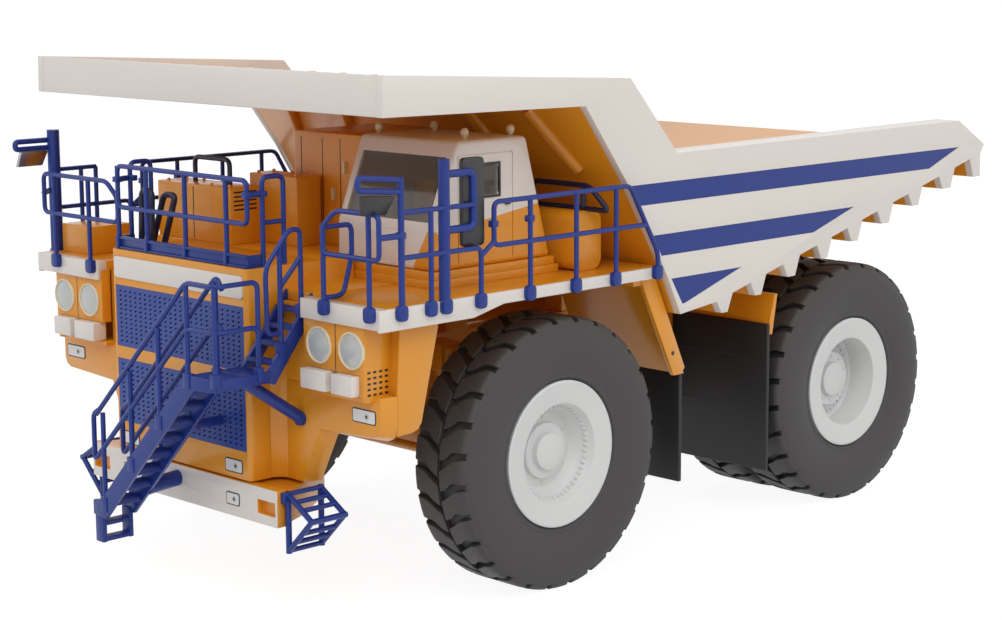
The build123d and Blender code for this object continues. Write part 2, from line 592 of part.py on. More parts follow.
# Axles: the front beam with its king-pin forks, and the rear housing with its struts.
KING_X = 46.0
KING_R = 2.2
KNUCKLE_HALF = 5.0
FORK_H = 3.0
BEAM_HALF_Y = 4.0
with BuildPart() as front_axle:
    block(-38, 38, FRONT_AXLE - BEAM_HALF_Y, FRONT_AXLE + BEAM_HALF_Y, TYRE_R - 5, TYRE_R + 4)
    for name, sign in sides():
        for z in (TYRE_R - KNUCKLE_HALF - FORK_H, TYRE_R + KNUCKLE_HALF):
            low, high = sorted((sign * 36, sign * KING_X))
            block(low, high, FRONT_AXLE - 3.2, FRONT_AXLE + 3.2, z, z + FORK_H)
            rod((sign * KING_X, FRONT_AXLE, z), (sign * KING_X, FRONT_AXLE, z + FORK_H), 3.2)
        low, high = sorted((sign * 34, sign * 38))
        block(
            low, high, FRONT_AXLE - 3.2, FRONT_AXLE + 3.2,
            TYRE_R - KNUCKLE_HALF - FORK_H, TYRE_R + KNUCKLE_HALF + FORK_H,
        )
        rod(
            (sign * KING_X, FRONT_AXLE, TYRE_R - KNUCKLE_HALF - FORK_H),
            (sign * KING_X, FRONT_AXLE, TYRE_R + KNUCKLE_HALF + FORK_H), KING_R,
        )
        rod((sign * 24, FRONT_AXLE, TYRE_R), (sign * 24, FRONT_AXLE, 56), 3.4)
        low, high = sorted((sign * RAIL_OUT, sign * 26))
        block(low, high, FRONT_AXLE - 4, FRONT_AXLE + 4, 50, 57)
    block(-RAIL_OUT, RAIL_OUT, FRONT_AXLE - 3, FRONT_AXLE + 3, TYRE_R + 3.9, RAIL_BOTTOM)
save(front_axle.part, "front_axle")

HOUSING_R = 9.0
DRUM_R = 12.5
REAR_TUBE_R = 8.0
with BuildPart() as rear_axle:
    rod((-REAR_INNER_X, REAR_AXLE, TYRE_R), (REAR_INNER_X, REAR_AXLE, TYRE_R), HOUSING_R)
    rod((-9.4, REAR_AXLE, TYRE_R), (9.4, REAR_AXLE, TYRE_R), DRUM_R)
    for name, sign in sides():
        rod((sign * (REAR_INNER_X - 1), REAR_AXLE, TYRE_R), (sign * 47.0, REAR_AXLE, TYRE_R), REAR_TUBE_R)
        rod((sign * 46, REAR_AXLE, TYRE_R), (sign * 56.0, REAR_AXLE, TYRE_R), SPINDLE_R)
        rod((sign * 13.5, REAR_AXLE, TYRE_R), (sign * 13.5, REAR_AXLE, 48.0), 3.0)
save(rear_axle.part, "rear_axle")

# Wheels: a steering knuckle at the front, one wheel or a twin on each end of an axle.
# Tyre outline columns: x from the tyre's middle, radius
TYRE_OUTLINE = [
    (BEAD_W / 2, BEAD_R), (BEAD_W / 2, FLANGE_R + 0.1), (TYRE_W / 2 - 0.4, 21.5), (TYRE_W / 2, 26.0),
    (TYRE_W / 2 - 0.6, 31.0), (TYRE_W / 2 - 2.0, TYRE_R),
]
LUG_W = 5.2
LUG_LEN = 8.2
LUG_TURN = 28.0


def tyre(x, y):
    """A tyre round the axle at y, with its middle at x."""
    half = [(x + dx, radius) for dx, radius in TYRE_OUTLINE]
    other = [(x - dx, radius) for dx, radius in reversed(TYRE_OUTLINE)]
    centre = Plane.XY.offset(TYRE_R).move(Location((0, y, 0)))
    with BuildSketch(centre) as section:
        with BuildLine():
            Polyline(*half, *other, close=True)
        make_face()
    revolve(section.sketch, axis=Axis(centre.origin, (1, 0, 0)))


def turned(x0, x1, y, radius, mode=Mode.ADD):
    """A round piece on the axle at y, from x0 to x1."""
    rod((x0, y, TYRE_R), (x1, y, TYRE_R), radius, mode)


def rim(x, y, sign, disc_x, hub_r):
    """A rim with its flanges, disc and hub; sign is the side of X that faces outwards."""
    low, high = x - BEAD_W / 2 - RIM_FLANGE, x + BEAD_W / 2 + RIM_FLANGE
    turned(low, high, y, BEAD_R)
    for start, end in ((low, low + RIM_FLANGE), (high - RIM_FLANGE, high)):
        turned(start, end, y, FLANGE_R)
    turned(low, high, y, BEAD_R - RIM_WALL, Mode.SUBTRACT)
    turned(disc_x, disc_x + sign * DISC_T, y, BEAD_R - RIM_WALL + 0.1)
    turned(disc_x, disc_x + sign * (DISC_T + 4), y, hub_r)


DISC_T = 2.0
for name, sign in sides():
    with BuildPart() as front_tyre:
        tyre(sign * FRONT_WHEEL_X, FRONT_AXLE)
    save(front_tyre.part, f"front_tyre_{name}")
    with BuildPart() as front_rim:
        rim(sign * FRONT_WHEEL_X, FRONT_AXLE, sign, sign * 58.0, 7.0)
        turned(sign * 57, sign * 61, FRONT_AXLE, SPINDLE_R + RUN_GAP, Mode.SUBTRACT)
    save(front_rim.part, f"front_rim_{name}")
    with BuildPart() as rear_tyres:
        tyre(sign * REAR_OUTER_X, REAR_AXLE)
        tyre(sign * REAR_INNER_X, REAR_AXLE)
    save(rear_tyres.part, f"rear_tyres_{name}")
    with BuildPart() as rear_rim:
        rim(sign * REAR_OUTER_X, REAR_AXLE, sign, sign * 51.0, 7.0)
        inner = sign * (REAR_INNER_X - BEAD_W / 2 - RIM_FLANGE)
        outer = sign * (REAR_OUTER_X - BEAD_W / 2)
        turned(inner, outer, REAR_AXLE, BEAD_R)
        turned(inner, inner + sign * RIM_FLANGE, REAR_AXLE, FLANGE_R)
        turned(inner, outer, REAR_AXLE, BEAD_R - RIM_WALL, Mode.SUBTRACT)
        turned(sign * 50, sign * 56.05, REAR_AXLE, SPINDLE_R + RUN_GAP, Mode.SUBTRACT)
    save(rear_rim.part, f"rear_rim_{name}")
    with BuildPart() as knuckle:
        low, high = TYRE_R - KNUCKLE_HALF + PIVOT_GAP, TYRE_R + KNUCKLE_HALF - PIVOT_GAP
        king = (sign * KING_X, FRONT_AXLE)
        rod((*king, low), (*king, high), 4.2)
        rod((sign * (KING_X + 2), FRONT_AXLE, TYRE_R), (sign * 57.4, FRONT_AXLE, TYRE_R), 4.4)
        rod((sign * 57, FRONT_AXLE, TYRE_R), (sign * 60.5, FRONT_AXLE, TYRE_R), SPINDLE_R)
        rod((*king, low - 1), (*king, high + 1), KING_R + RUN_GAP, Mode.SUBTRACT)
        low_x, high_x = sorted((sign * (KING_X - 4.6), sign * (KING_X - 1)))
        block(low_x, high_x, FRONT_AXLE - 12.5, FRONT_AXLE - 2.6, TYRE_R - 1.5, TYRE_R + 1.5)
    save(knuckle.part, f"knuckle_{name}")

TIE_Z = TYRE_R - 3.2
TIE_Y = FRONT_AXLE - 10.8
TIE_X = KING_X - 2.8
with BuildPart() as tie_rod:
    rod((-TIE_X, TIE_Y, TIE_Z), (TIE_X, TIE_Y, TIE_Z), 1.2)
    for name, sign in sides():
        rod((sign * TIE_X, TIE_Y, TIE_Z - 1.3), (sign * TIE_X, TIE_Y, TYRE_R - 1.5 - PIVOT_GAP), 1.8)
save(tie_rod.part, "tie_rod")

# Dump body: the tub with its ribbed floor and canopy, and a white side with blue bands on each side.
# Front wall columns: y from the axle, z
WALL_LINE = [(40.3, 64.7), (35.4, 74.4), (28.2, 86.5), (19.3, 100.6), (4.7, 119.8)]
WALL_FOOT = WALL_LINE[0]
WALL_T = 3.4
# Rib columns: y low and high of the tooth from the axle, z of its bottom
RIBS = [
    (56.8, 59.2, 63.0), (70.7, 73.2, 66.0), (84.5, 87.7, 69.5), (99.3, 102.0, 72.9), (113.1, 116.0, 76.3),
    (127.1, 130.6, 80.0), (141.9, 144.9, 83.8), (157.1, 161.1, 87.5), (172.9, 176.4, 89.8),
]
RIB_FLARE = 2.0
SIDE_OUTLINE = [
    *WALL_LINE, (-60.5, 120.7), (-60.3, 130.0),
    (20.8, 125.8), (38.6, 106.2), (164.6, 107.0), (178.2, 99.2), (176.4, 96.7),
]
INNER = BODY_HALF - SIDE_T
with BuildPart() as tub:
    floor_end = floor_low(TAIL)
    across(
        [
            (FRONT_AXLE + WALL_FOOT[0], FLOOR_START_Z - 1.4), (FLOOR_START, FLOOR_START_Z),
            (TAIL, floor_end), (TAIL, floor_end + FLOOR_T), (FLOOR_START - 14, FLOOR_START_Z + FLOOR_T - 3.5),
        ],
        -INNER, INNER,
    )
    across(from_axle(WALL_LINE + [(y + WALL_T, z) for y, z in reversed(WALL_LINE)]), -INNER, INNER)
    across(
        from_axle([(-59.6, 121.2), (-59.6, 125.0), (8.3, 122.8), (8.3, 119.8), (4.7, 119.8)]),
        -INNER, INNER,
    )
    for y0, y1, z in RIBS:
        top = floor_low(FRONT_AXLE + (y0 + y1) / 2) + 1.2
        across(from_axle([(y0, z), (y1, z), (y1 + RIB_FLARE, top + 0.6), (y0 - RIB_FLARE, top - 0.6)]), -INNER, INNER)
    for name, sign in sides():
        low, high = sorted((sign * (RAIL_IN + 0.6), sign * RAIL_OUT))
        across(
            [
                (SILL_FRONT, RAIL_TOP + SEAT_GAP), (SILL_REAR, SILL_REAR_Z + SEAT_GAP),
                (SILL_REAR, floor_low(SILL_REAR) + 1), (SILL_FRONT, floor_low(SILL_FRONT) + 1),
            ],
            low, high,
        )
        ear_low, ear_high = sorted((sign * (RAIL_OUT + SIDE_GAP), sign * (RAIL_OUT + SIDE_GAP + EAR_W)))
        across(
            [
                (PIVOT_Y - PIVOT_BOSS_R, PIVOT_Z), (PIVOT_Y + PIVOT_BOSS_R, PIVOT_Z),
                (PIVOT_Y + 6.5, floor_low(PIVOT_Y + 6.5) + 1), (PIVOT_Y - 9, floor_low(PIVOT_Y - 9) + 1),
            ],
            ear_low, ear_high,
        )
        rod((ear_low, PIVOT_Y, PIVOT_Z), (ear_high, PIVOT_Y, PIVOT_Z), PIVOT_BOSS_R)
        rod((ear_low - 0.1, PIVOT_Y, PIVOT_Z), (ear_high + 0.1, PIVOT_Y, PIVOT_Z), PIVOT_R + RUN_GAP, Mode.SUBTRACT)
        rod(
            (sign * (RAIL_OUT - 1), HOIST_HEAD_Y, HOIST_HEAD_Z),
            (sign * (HOIST_X - 2.4), HOIST_HEAD_Y, HOIST_HEAD_Z), 2.4,
        )
save(tub.part, "tub")

# Band columns: y low and y high from the axle at the top edge, then at the bottom edge, z high, z low
BANDS = [
    (20.6, 165.1, 24.4, 150.2, 99.2, 93.9), (29.6, 114.2, 32.8, 95.8, 86.0, 80.5),
    (36.6, 65.0, 41.0, 42.0, 74.3, 67.3),
]
for name, sign in sides():
    teeth = []
    for y0, y1, z in reversed(RIBS):
        low_top = floor_low(FRONT_AXLE + y0 - RIB_FLARE)
        high_top = floor_low(FRONT_AXLE + y1 + RIB_FLARE)
        teeth += [(y1 + RIB_FLARE, high_top), (y1, z), (y0, z), (y0 - RIB_FLARE, low_top)]
    low, high = sorted((sign * INNER, sign * BODY_HALF))
    pocket = sorted((sign * (BODY_HALF - STRIPE_T), sign * BODY_HALF))
    with BuildPart() as body_side:
        across(from_axle(SIDE_OUTLINE + teeth[1:]), low, high)
        rail_low, rail_high = sorted((sign * (INNER - 6), sign * INNER))
        across(from_axle([(38.6, 101.4), (38.6, 106.2), (164.6, 107.0), (172, 102.8), (170, 100.6)]), rail_low, rail_high)
        for top0, top1, low0, low1, z1, z0 in BANDS:
            across(from_axle([(top0, z1), (top1, z1), (low1, z0), (low0, z0)]), *pocket, Mode.SUBTRACT)
    save(body_side.part, f"body_side_{name}")

with BuildPart() as stripes:
    for name, sign in sides():
        floor_x = sorted((sign * (BODY_HALF - STRIPE_T), sign * (BODY_HALF - STRIPE_T / 2)))
        for top0, top1, low0, low1, z1, z0 in BANDS:
            across(from_axle([(top0, z1), (top1, z1), (low1, z0), (low0, z0)]), *floor_x)
save(stripes.part, "stripes")

with BuildPart() as canopy_edge:
    across(from_axle([(-60.5, 120.7), (-60.3, 130.0), (-59.6, 130.0), (-59.6, 120.7)]), -INNER, INNER)
save(canopy_edge.part, "canopy_edge")

# Hoists: a barrel, a middle stage and a rod on each side, closed between their pins.
HOIST_FOOT = Vector(0, HOIST_FOOT_Y, HOIST_FOOT_Z)
HOIST_HEAD = Vector(0, HOIST_HEAD_Y, HOIST_HEAD_Z)
HOIST_LINE = HOIST_HEAD - HOIST_FOOT
HOIST_UNIT = HOIST_LINE.normalized()
# Tube columns: outer radius, start and end from the foot pin, start of the bore
BARREL = (3.2, 3.0, 32.5, 6.0)
STAGE = (2.6, 7.0, 34.0, 8.5)
ROD = (1.9, 9.5, HOIST_LINE.length - 1.5, None)


def on_hoist(x, distance):
    point = HOIST_FOOT + HOIST_UNIT * distance
    return (x, point.Y, point.Z)


for name, sign in sides():
    x = sign * HOIST_X
    with BuildPart() as hoist_barrel:
        rod(on_hoist(x, BARREL[1]), on_hoist(x, BARREL[2]), BARREL[0])
        rod((x - 2.0, HOIST_FOOT_Y, HOIST_FOOT_Z), (x + 2.0, HOIST_FOOT_Y, HOIST_FOOT_Z), 3.4)
        rod(on_hoist(x, BARREL[3]), on_hoist(x, BARREL[2] + 1), STAGE[0] + RUN_GAP, Mode.SUBTRACT)
        rod(
            (x - 2.5, HOIST_FOOT_Y, HOIST_FOOT_Z), (x + 2.5, HOIST_FOOT_Y, HOIST_FOOT_Z),
            HOIST_PIN_R + RUN_GAP, Mode.SUBTRACT,
        )
    save(hoist_barrel.part, f"hoist_barrel_{name}")
    with BuildPart() as hoist_stage:
        rod(on_hoist(x, STAGE[1]), on_hoist(x, STAGE[2]), STAGE[0])
        rod(on_hoist(x, STAGE[3]), on_hoist(x, STAGE[2] + 1), ROD[0] + RUN_GAP, Mode.SUBTRACT)
    save(hoist_stage.part, f"hoist_stage_{name}")
    with BuildPart() as hoist_rod:
        rod(on_hoist(x, ROD[1]), on_hoist(x, ROD[2]), ROD[0])
        rod((x - 1.8, HOIST_HEAD_Y, HOIST_HEAD_Z), (x + 1.8, HOIST_HEAD_Y, HOIST_HEAD_Z), 2.6)
    save(hoist_rod.part, f"hoist_rod_{name}")
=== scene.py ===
import json
import math

import bmesh
import bpy
from mathutils import Matrix, Vector


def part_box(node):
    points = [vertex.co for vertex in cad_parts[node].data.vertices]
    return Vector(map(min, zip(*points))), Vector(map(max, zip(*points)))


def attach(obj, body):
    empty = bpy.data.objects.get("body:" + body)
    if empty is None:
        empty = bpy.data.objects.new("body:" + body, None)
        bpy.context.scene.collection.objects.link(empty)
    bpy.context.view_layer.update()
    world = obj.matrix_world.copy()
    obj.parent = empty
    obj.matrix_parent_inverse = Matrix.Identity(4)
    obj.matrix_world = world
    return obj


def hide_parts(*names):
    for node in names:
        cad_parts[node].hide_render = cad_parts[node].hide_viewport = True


# Looks of a 1:50 collector's model of a mining dump truck. Lengths are in metres, and a
# figure written in millimetres is turned by MM. The front faces -Y and +X is the driver's side.
MM = 0.001
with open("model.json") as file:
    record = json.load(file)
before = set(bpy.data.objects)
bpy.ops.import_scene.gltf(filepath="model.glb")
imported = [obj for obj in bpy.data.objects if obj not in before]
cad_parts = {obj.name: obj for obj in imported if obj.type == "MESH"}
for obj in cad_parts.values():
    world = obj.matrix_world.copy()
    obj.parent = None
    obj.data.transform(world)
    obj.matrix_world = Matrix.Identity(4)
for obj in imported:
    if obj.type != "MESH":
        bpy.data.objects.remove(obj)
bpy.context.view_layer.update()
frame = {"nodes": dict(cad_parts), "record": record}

# Camera, fitted to the photograph
CAMERA_PLACE = (0.42215, -0.41794, 0.15703)
CAMERA_AZIMUTH = 45.44
CAMERA_ELEVATION = 9.54
CAMERA_ROLL = -0.28
LENS_MM = 77.02
SENSOR_MM = 36.0
CLIP_START = 0.01

# Paints and plastics, in linear colour
ORANGE = (0.76, 0.30, 0.012)
WHITE = (0.755, 0.705, 0.655)
BLUE = (0.012, 0.036, 0.235)
GRILLE_BLUE = (0.030, 0.064, 0.30)
# Painted shade: the blue darkened as blue parts look in shade, for the bottoms of the grille slots and for
# the hoops
SHADED_BLUE = (0.006, 0.010, 0.045)
TYRE_BLACK = (0.056, 0.053, 0.052)
FLAP_BLACK = (0.008, 0.008, 0.009)
RIM_WHITE = (0.70, 0.70, 0.695)
MIRROR_GREY = (0.022, 0.023, 0.025)
STEEL = (0.42, 0.43, 0.45)
LENS_GREY = (0.50, 0.51, 0.50)
LAMP_WHITE = (0.72, 0.72, 0.71)
CREAM = (0.76, 0.66, 0.46)
BLACK = (0.012, 0.012, 0.013)
SMOKE = (0.16, 0.15, 0.13)
FLOOR_WHITE = (0.93, 0.93, 0.93)


# Surfaces
def output_socket(group, name, kind):
    return group.interface.new_socket(name=name, in_out="OUTPUT", socket_type=kind)


def input_socket(group, name, kind, value=None):
    socket = group.interface.new_socket(name=name, in_out="INPUT", socket_type=kind)
    if value is not None:
        socket.default_value = value
    return socket


def math_node(nodes, links, operation, *values):
    """The outlet of a math node whose inlets are fed by sockets or set to numbers."""
    node = nodes.new("ShaderNodeMath")
    node.operation = operation
    for inlet, value in zip(node.inputs, values):
        if isinstance(value, bpy.types.NodeSocket):
            links.new(value, inlet)
        else:
            inlet.default_value = value
    return node.outputs[0]


PATCH_SIZE = 28.0
ROUGHNESS_CHANGE = 0.12


def moulded_surface_group():
    """Fine grain and soft unevenness of sprayed or moulded pieces: a colour, a roughness, a height."""
    group = bpy.data.node_groups.new("moulded_surface", "ShaderNodeTree")
    input_socket(group, "Colour", "NodeSocketColor", (1, 1, 1, 1))
    input_socket(group, "Roughness", "NodeSocketFloat", 0.4)
    input_socket(group, "Grain size", "NodeSocketFloat", 4000.0)
    input_socket(group, "Tone change", "NodeSocketFloat", 0.05)
    output_socket(group, "Colour", "NodeSocketColor")
    output_socket(group, "Roughness", "NodeSocketFloat")
    output_socket(group, "Height", "NodeSocketFloat")
    nodes, links = group.nodes, group.links
    entry = nodes.new("NodeGroupInput")
    leave = nodes.new("NodeGroupOutput")
    place = nodes.new("ShaderNodeTexCoord")
    grain = nodes.new("ShaderNodeTexNoise")
    grain.inputs["Detail"].default_value = 3.0
    links.new(place.outputs["Object"], grain.inputs["Vector"])
    links.new(entry.outputs["Grain size"], grain.inputs["Scale"])
    patches = nodes.new("ShaderNodeTexNoise")
    patches.inputs["Scale"].default_value = PATCH_SIZE
    patches.inputs["Detail"].default_value = 2.0
    links.new(place.outputs["Object"], patches.inputs["Vector"])
    centred = math_node(nodes, links, "SUBTRACT", patches.outputs["Fac"], 0.5)
    tone = math_node(nodes, links, "MULTIPLY_ADD", centred, entry.outputs["Tone change"], 1.0)
    toned = nodes.new("ShaderNodeVectorMath")
    toned.operation = "SCALE"
    links.new(entry.outputs["Colour"], toned.inputs[0])
    links.new(tone, toned.inputs["Scale"])
    links.new(toned.outputs[0], leave.inputs["Colour"])
    rough = math_node(nodes, links, "MULTIPLY_ADD", centred, ROUGHNESS_CHANGE, entry.outputs["Roughness"])
    links.new(rough, leave.inputs["Roughness"])
    links.new(grain.outputs["Fac"], leave.inputs["Height"])
    return group


MOULDED = moulded_surface_group()
GRAIN_HEIGHT = 0.05 * MM
COAT_ROUGHNESS = 0.12
GLASS_ALPHA = 0.38


def finish_of(name, colour, roughness, grain=4000.0, tone=0.05, bump=0.05, coat=0.0, metallic=0.0,
              specular=0.5, paint_over=None):
    """A painted or moulded material. paint_over(nodes, links, colour) may add a second colour by place."""
    material = bpy.data.materials.new(name)
    material.use_nodes = True
    nodes, links = material.node_tree.nodes, material.node_tree.links
    shader = nodes["Principled BSDF"]
    surface = nodes.new("ShaderNodeGroup")
    surface.node_tree = MOULDED
    surface.inputs["Colour"].default_value = (*colour, 1.0)
    surface.inputs["Roughness"].default_value = roughness
    surface.inputs["Grain size"].default_value = grain
    surface.inputs["Tone change"].default_value = tone
    if paint_over:
        links.new(paint_over(nodes, links, colour), surface.inputs["Colour"])
    links.new(surface.outputs["Colour"], shader.inputs["Base Color"])
    links.new(surface.outputs["Roughness"], shader.inputs["Roughness"])
    relief = nodes.new("ShaderNodeBump")
    relief.inputs["Strength"].default_value = bump
    relief.inputs["Distance"].default_value = GRAIN_HEIGHT
    links.new(surface.outputs["Height"], relief.inputs["Height"])
    links.new(relief.outputs["Normal"], shader.inputs["Normal"])
    shader.inputs["Metallic"].default_value = metallic
    shader.inputs["Specular IOR Level"].default_value = specular
    shader.inputs["Coat Weight"].default_value = coat
    shader.inputs["Coat Roughness"].default_value = COAT_ROUGHNESS
    material.diffuse_color = (*colour, 1.0)
    return material


def plane_mask(nodes, links, planes):
    """1 where a point lies on the inner side of every plane; a plane is (normal, distance in mm)."""
    place = nodes.new("ShaderNodeTexCoord")
    mask = None
    for normal, distance in planes:
        dot = nodes.new("ShaderNodeVectorMath")
        dot.operation = "DOT_PRODUCT"
        dot.inputs[1].default_value = normal
        links.new(place.outputs["Object"], dot.inputs[0])
        side = math_node(nodes, links, "LESS_THAN", dot.outputs["Value"], distance * MM)
        mask = math_node(nodes, links, "MULTIPLY", mask, side) if mask else side
    return mask


def second_colour(regions, other):
    """Paint of another colour inside any of the regions, each given by its planes."""
    def paint(nodes, links, colour):
        result = None
        for planes in regions:
            mask = plane_mask(nodes, links, planes)
            result = math_node(nodes, links, "MAXIMUM", result, mask) if result else mask
        mix = nodes.new("ShaderNodeMix")
        mix.data_type = "RGBA"
        mix.inputs["A"].default_value = (*colour, 1.0)
        mix.inputs["B"].default_value = (*other, 1.0)
        links.new(result, mix.inputs["Factor"])
        return mix.outputs["Result"]
    return paint


def smoked_glass():
    material = finish_of("smoked_glass", SMOKE, roughness=0.06, grain=900.0, tone=0.1, bump=0.02)
    shader = material.node_tree.nodes["Principled BSDF"]
    shader.inputs["Alpha"].default_value = GLASS_ALPHA
    return material


FRONT_AXLE = -45.4
BUMPER_FACE = FRONT_AXLE - 67.9
CAB_SIDE = 54.0
# Orange on the cab's front, right of a steep line, and on its outer side, under a rising line
CAB_FRONT_ORANGE = [((-0.878, 0, 0.479), -2.4), ((0, 1, 0), FRONT_AXLE - 32.0), ((0, 0, 1), 91.5)]
CAB_SIDE_ORANGE = [((-1, 0, 0), -CAB_SIDE), ((0, -0.135, 0.991), 100.6), ((0, -1, 0), -FRONT_AXLE + 33.2)]

orange_paint = finish_of("orange_paint", ORANGE, roughness=0.33, coat=0.25)
white_paint = finish_of("white_paint", WHITE, roughness=0.36, coat=0.2)
bumper_paint = finish_of(
    "bumper_paint", ORANGE, roughness=0.33, coat=0.25,
    paint_over=second_colour([[((0, 1, 0), BUMPER_FACE)]], WHITE),
)
cab_paint = finish_of(
    "cab_paint", WHITE, roughness=0.36, coat=0.2,
    paint_over=second_colour([CAB_FRONT_ORANGE, CAB_SIDE_ORANGE], ORANGE),
)
blue_plastic = finish_of("blue_plastic", BLUE, roughness=0.32, specular=0.35)
grille_plastic = finish_of("grille_plastic", GRILLE_BLUE, roughness=0.36, specular=0.35)
# Painted shade: a darker copy of the blue, used where blue parts lie in shade
blue_painted_shade = finish_of("blue_painted_shade", SHADED_BLUE, roughness=0.4)
tyre_rubber = finish_of(
    "tyre_rubber", TYRE_BLACK, roughness=0.58, grain=2500.0, tone=0.15, bump=0.25, specular=0.4,
)
flap_rubber = finish_of("flap_rubber", FLAP_BLACK, roughness=0.55, grain=2000.0, tone=0.2, bump=0.2)
rim_plastic = finish_of("rim_plastic", RIM_WHITE, roughness=0.42)
mirror_plastic = finish_of("mirror_plastic", MIRROR_GREY, roughness=0.38)
hoist_steel = finish_of("hoist_steel", STEEL, roughness=0.3, metallic=1.0, tone=0.1)
lens_plastic = finish_of("lens_plastic", LENS_GREY, roughness=0.22, grain=700.0, bump=0.9, coat=0.6)
lamp_white = finish_of("lamp_white", LAMP_WHITE, roughness=0.2, coat=0.5)
cream_plastic = finish_of("cream_plastic", CREAM, roughness=0.35)
black_plastic = finish_of("black_plastic", BLACK, roughness=0.4)
window_glass = smoked_glass()

SLOT_FINISH = {
    "orange_paint": orange_paint, "orange_plastic": orange_paint, "white_paint": white_paint,
    "white_plastic": white_paint, "blue_paint": blue_plastic, "blue_plastic": blue_plastic,
    "tyre": tyre_rubber, "rim_paint": rim_plastic, "black_rubber": flap_rubber,
    "dark_plastic": mirror_plastic, "lens": lens_plastic, "smoked_glass": window_glass,
    "hoist_metal": hoist_steel,
}
NODE_FINISH = {"bumper": bumper_paint, "cab": cab_paint}
node_slot = {row["node"]: row["material_slot"] for row in frame["record"]["subparts"]}
for name, node in frame["nodes"].items():
    node.data.materials.clear()
    node.data.materials.append(NODE_FINISH.get(name, SLOT_FINISH[node_slot[name]]))


# Pieces
def at(y):
    """The place along the truck, in mm, of something that lies y from the front axle."""
    return FRONT_AXLE + y


def sides():
    return (("left", 1), ("right", -1))


def span(sign, inner, outer):
    """The two ends of a stretch across the truck, on the side of a sign, in rising order."""
    return tuple(sorted((sign * inner, sign * outer)))


def body_of(node):
    for body, members in frame["record"]["behaviour"]["bodies"].items():
        if node in members:
            return body
    raise ValueError(node)


SHARP = math.radians(32)
TUBE_SHARP = math.radians(50)
CAST_EDGE = 0.25 * MM
PRESSED_EDGE = 0.3 * MM
BAR_EDGE = 0.15 * MM
FINE_EDGE = 0.12 * MM
SAME_POINT = 0.0005 * MM
FLAT = math.radians(0.5)


def trim(mesh_object, carrier, materials):
    """A piece that is added: it replaces nothing, and rides with the node that carries it."""
    for material in materials:
        mesh_object.data.materials.append(material)
    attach(mesh_object, body_of(carrier))


def keep(mesh_object, node, materials):
    """A finished piece that stands for a CAD node, with its body and slot."""
    trim(mesh_object, node, materials)
    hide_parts(node)


def object_from(shape, name, sharp=SHARP):
    """A linked object from a bmesh, with its normals outwards and its sharp edges kept."""
    bmesh.ops.recalc_face_normals(shape, faces=shape.faces)
    mesh = bpy.data.meshes.new(name)
    shape.to_mesh(mesh)
    shape.free()
    mesh.shade_smooth()
    mesh.set_sharp_from_angle(angle=sharp)
    made = bpy.data.objects.new(name, mesh)
    bpy.context.scene.collection.objects.link(made)
    return made


def applied(mesh_object):
    """The object with its modifiers made part of its mesh."""
    bpy.context.view_layer.update()
    depsgraph = bpy.context.evaluated_depsgraph_get()
    made = bpy.data.meshes.new_from_object(mesh_object.evaluated_get(depsgraph))
    mesh_object.modifiers.clear()
    mesh_object.data = made
    made.shade_smooth()
    made.set_sharp_from_angle(angle=SHARP)
    return mesh_object


def bevelled(mesh_object, width, segments=2):
    """The object with its sharp edges rounded."""
    rounding = mesh_object.modifiers.new("rounding", "BEVEL")
    rounding.width = width
    rounding.segments = segments
    rounding.limit_method = "ANGLE"
    rounding.angle_limit = SHARP
    rounding.use_clamp_overlap = True
    return applied(mesh_object)


def cut(mesh_object, *cutters):
    """The object less each closed cutter, taken away one after the other."""
    for cutter in cutters:
        tool = object_from(cutter, "cutter")
        difference = mesh_object.modifiers.new("cut", "BOOLEAN")
        difference.operation = "DIFFERENCE"
        difference.solver = "EXACT"
        difference.object = tool
        applied(mesh_object)
        bpy.data.objects.remove(tool)
    return mesh_object


def joined(name, solids, tubes, edge):
    """One object of solids with rounded edges and of smooth tubes."""
    made = bevelled(object_from(solids, name), edge)
    tube_object = object_from(tubes, f"{name}_tubes", TUBE_SHARP)
    both = bmesh.new()
    both.from_mesh(made.data)
    both.from_mesh(tube_object.data)
    both.to_mesh(made.data)
    both.free()
    bpy.data.objects.remove(tube_object)
    return made


def dressed(node):
    """A copy of a CAD node with its triangles joined and its edges rounded, as cast pieces are."""
    shape = bmesh.new()
    shape.from_mesh(frame["nodes"][node].data)
    bmesh.ops.remove_doubles(shape, verts=shape.verts, dist=SAME_POINT)
    bmesh.ops.dissolve_limit(shape, angle_limit=FLAT, verts=shape.verts, edges=shape.edges)
    return bevelled(object_from(shape, f"{node}_cast"), CAST_EDGE)


# Shapes in mm, added to a bmesh
def add_solid(shape, rings, material=0):
    """A closed solid through rings of as many points each, with a cap at both ends."""
    rows = [[shape.verts.new([value * MM for value in point]) for point in ring] for ring in rings]
    faces = [rows[0][::-1], rows[-1]]
    count = len(rows[0])
    for row, following in zip(rows, rows[1:]):
        for step in range(count):
            after = (step + 1) % count
            faces.append((row[step], row[after], following[after], following[step]))
    for corners in faces:
        shape.faces.new(corners).material_index = material


def add_box(shape, x_span, y_span, z_span, material=0):
    outline = outline_box(x_span, y_span)
    add_solid(shape, [[(x, y, z) for x, y in outline] for z in z_span], material)


def add_across(shape, points, x_span):
    """A side outline of (y from the axle, z), as thick across the truck as x_span."""
    add_solid(shape, [[(x, at(y), z) for y, z in points] for x in x_span])


def add_along(shape, points, y_span, material=0):
    """A front outline of (x, z), as deep along the truck as y_span."""
    add_solid(shape, [[(x, y, z) for x, z in points] for y in y_span], material)


TURN_STEPS = 4
BAR_R = 0.62
BAR_SIDES = 10
BAR_TURN = 1.8
# A rounded corner takes up at most this share of the sides that meet in it
FLAT_CORNER_SHARE = 0.49
BAR_CORNER_SHARE = 0.45


def turned_corner(start, corner, end):
    """Points of the curve that leads from start to end round a corner."""
    shares = [step / TURN_STEPS for step in range(TURN_STEPS + 1)]
    return [start * (1 - s) ** 2 + corner * (2 * s * (1 - s)) + end * s ** 2 for s in shares]


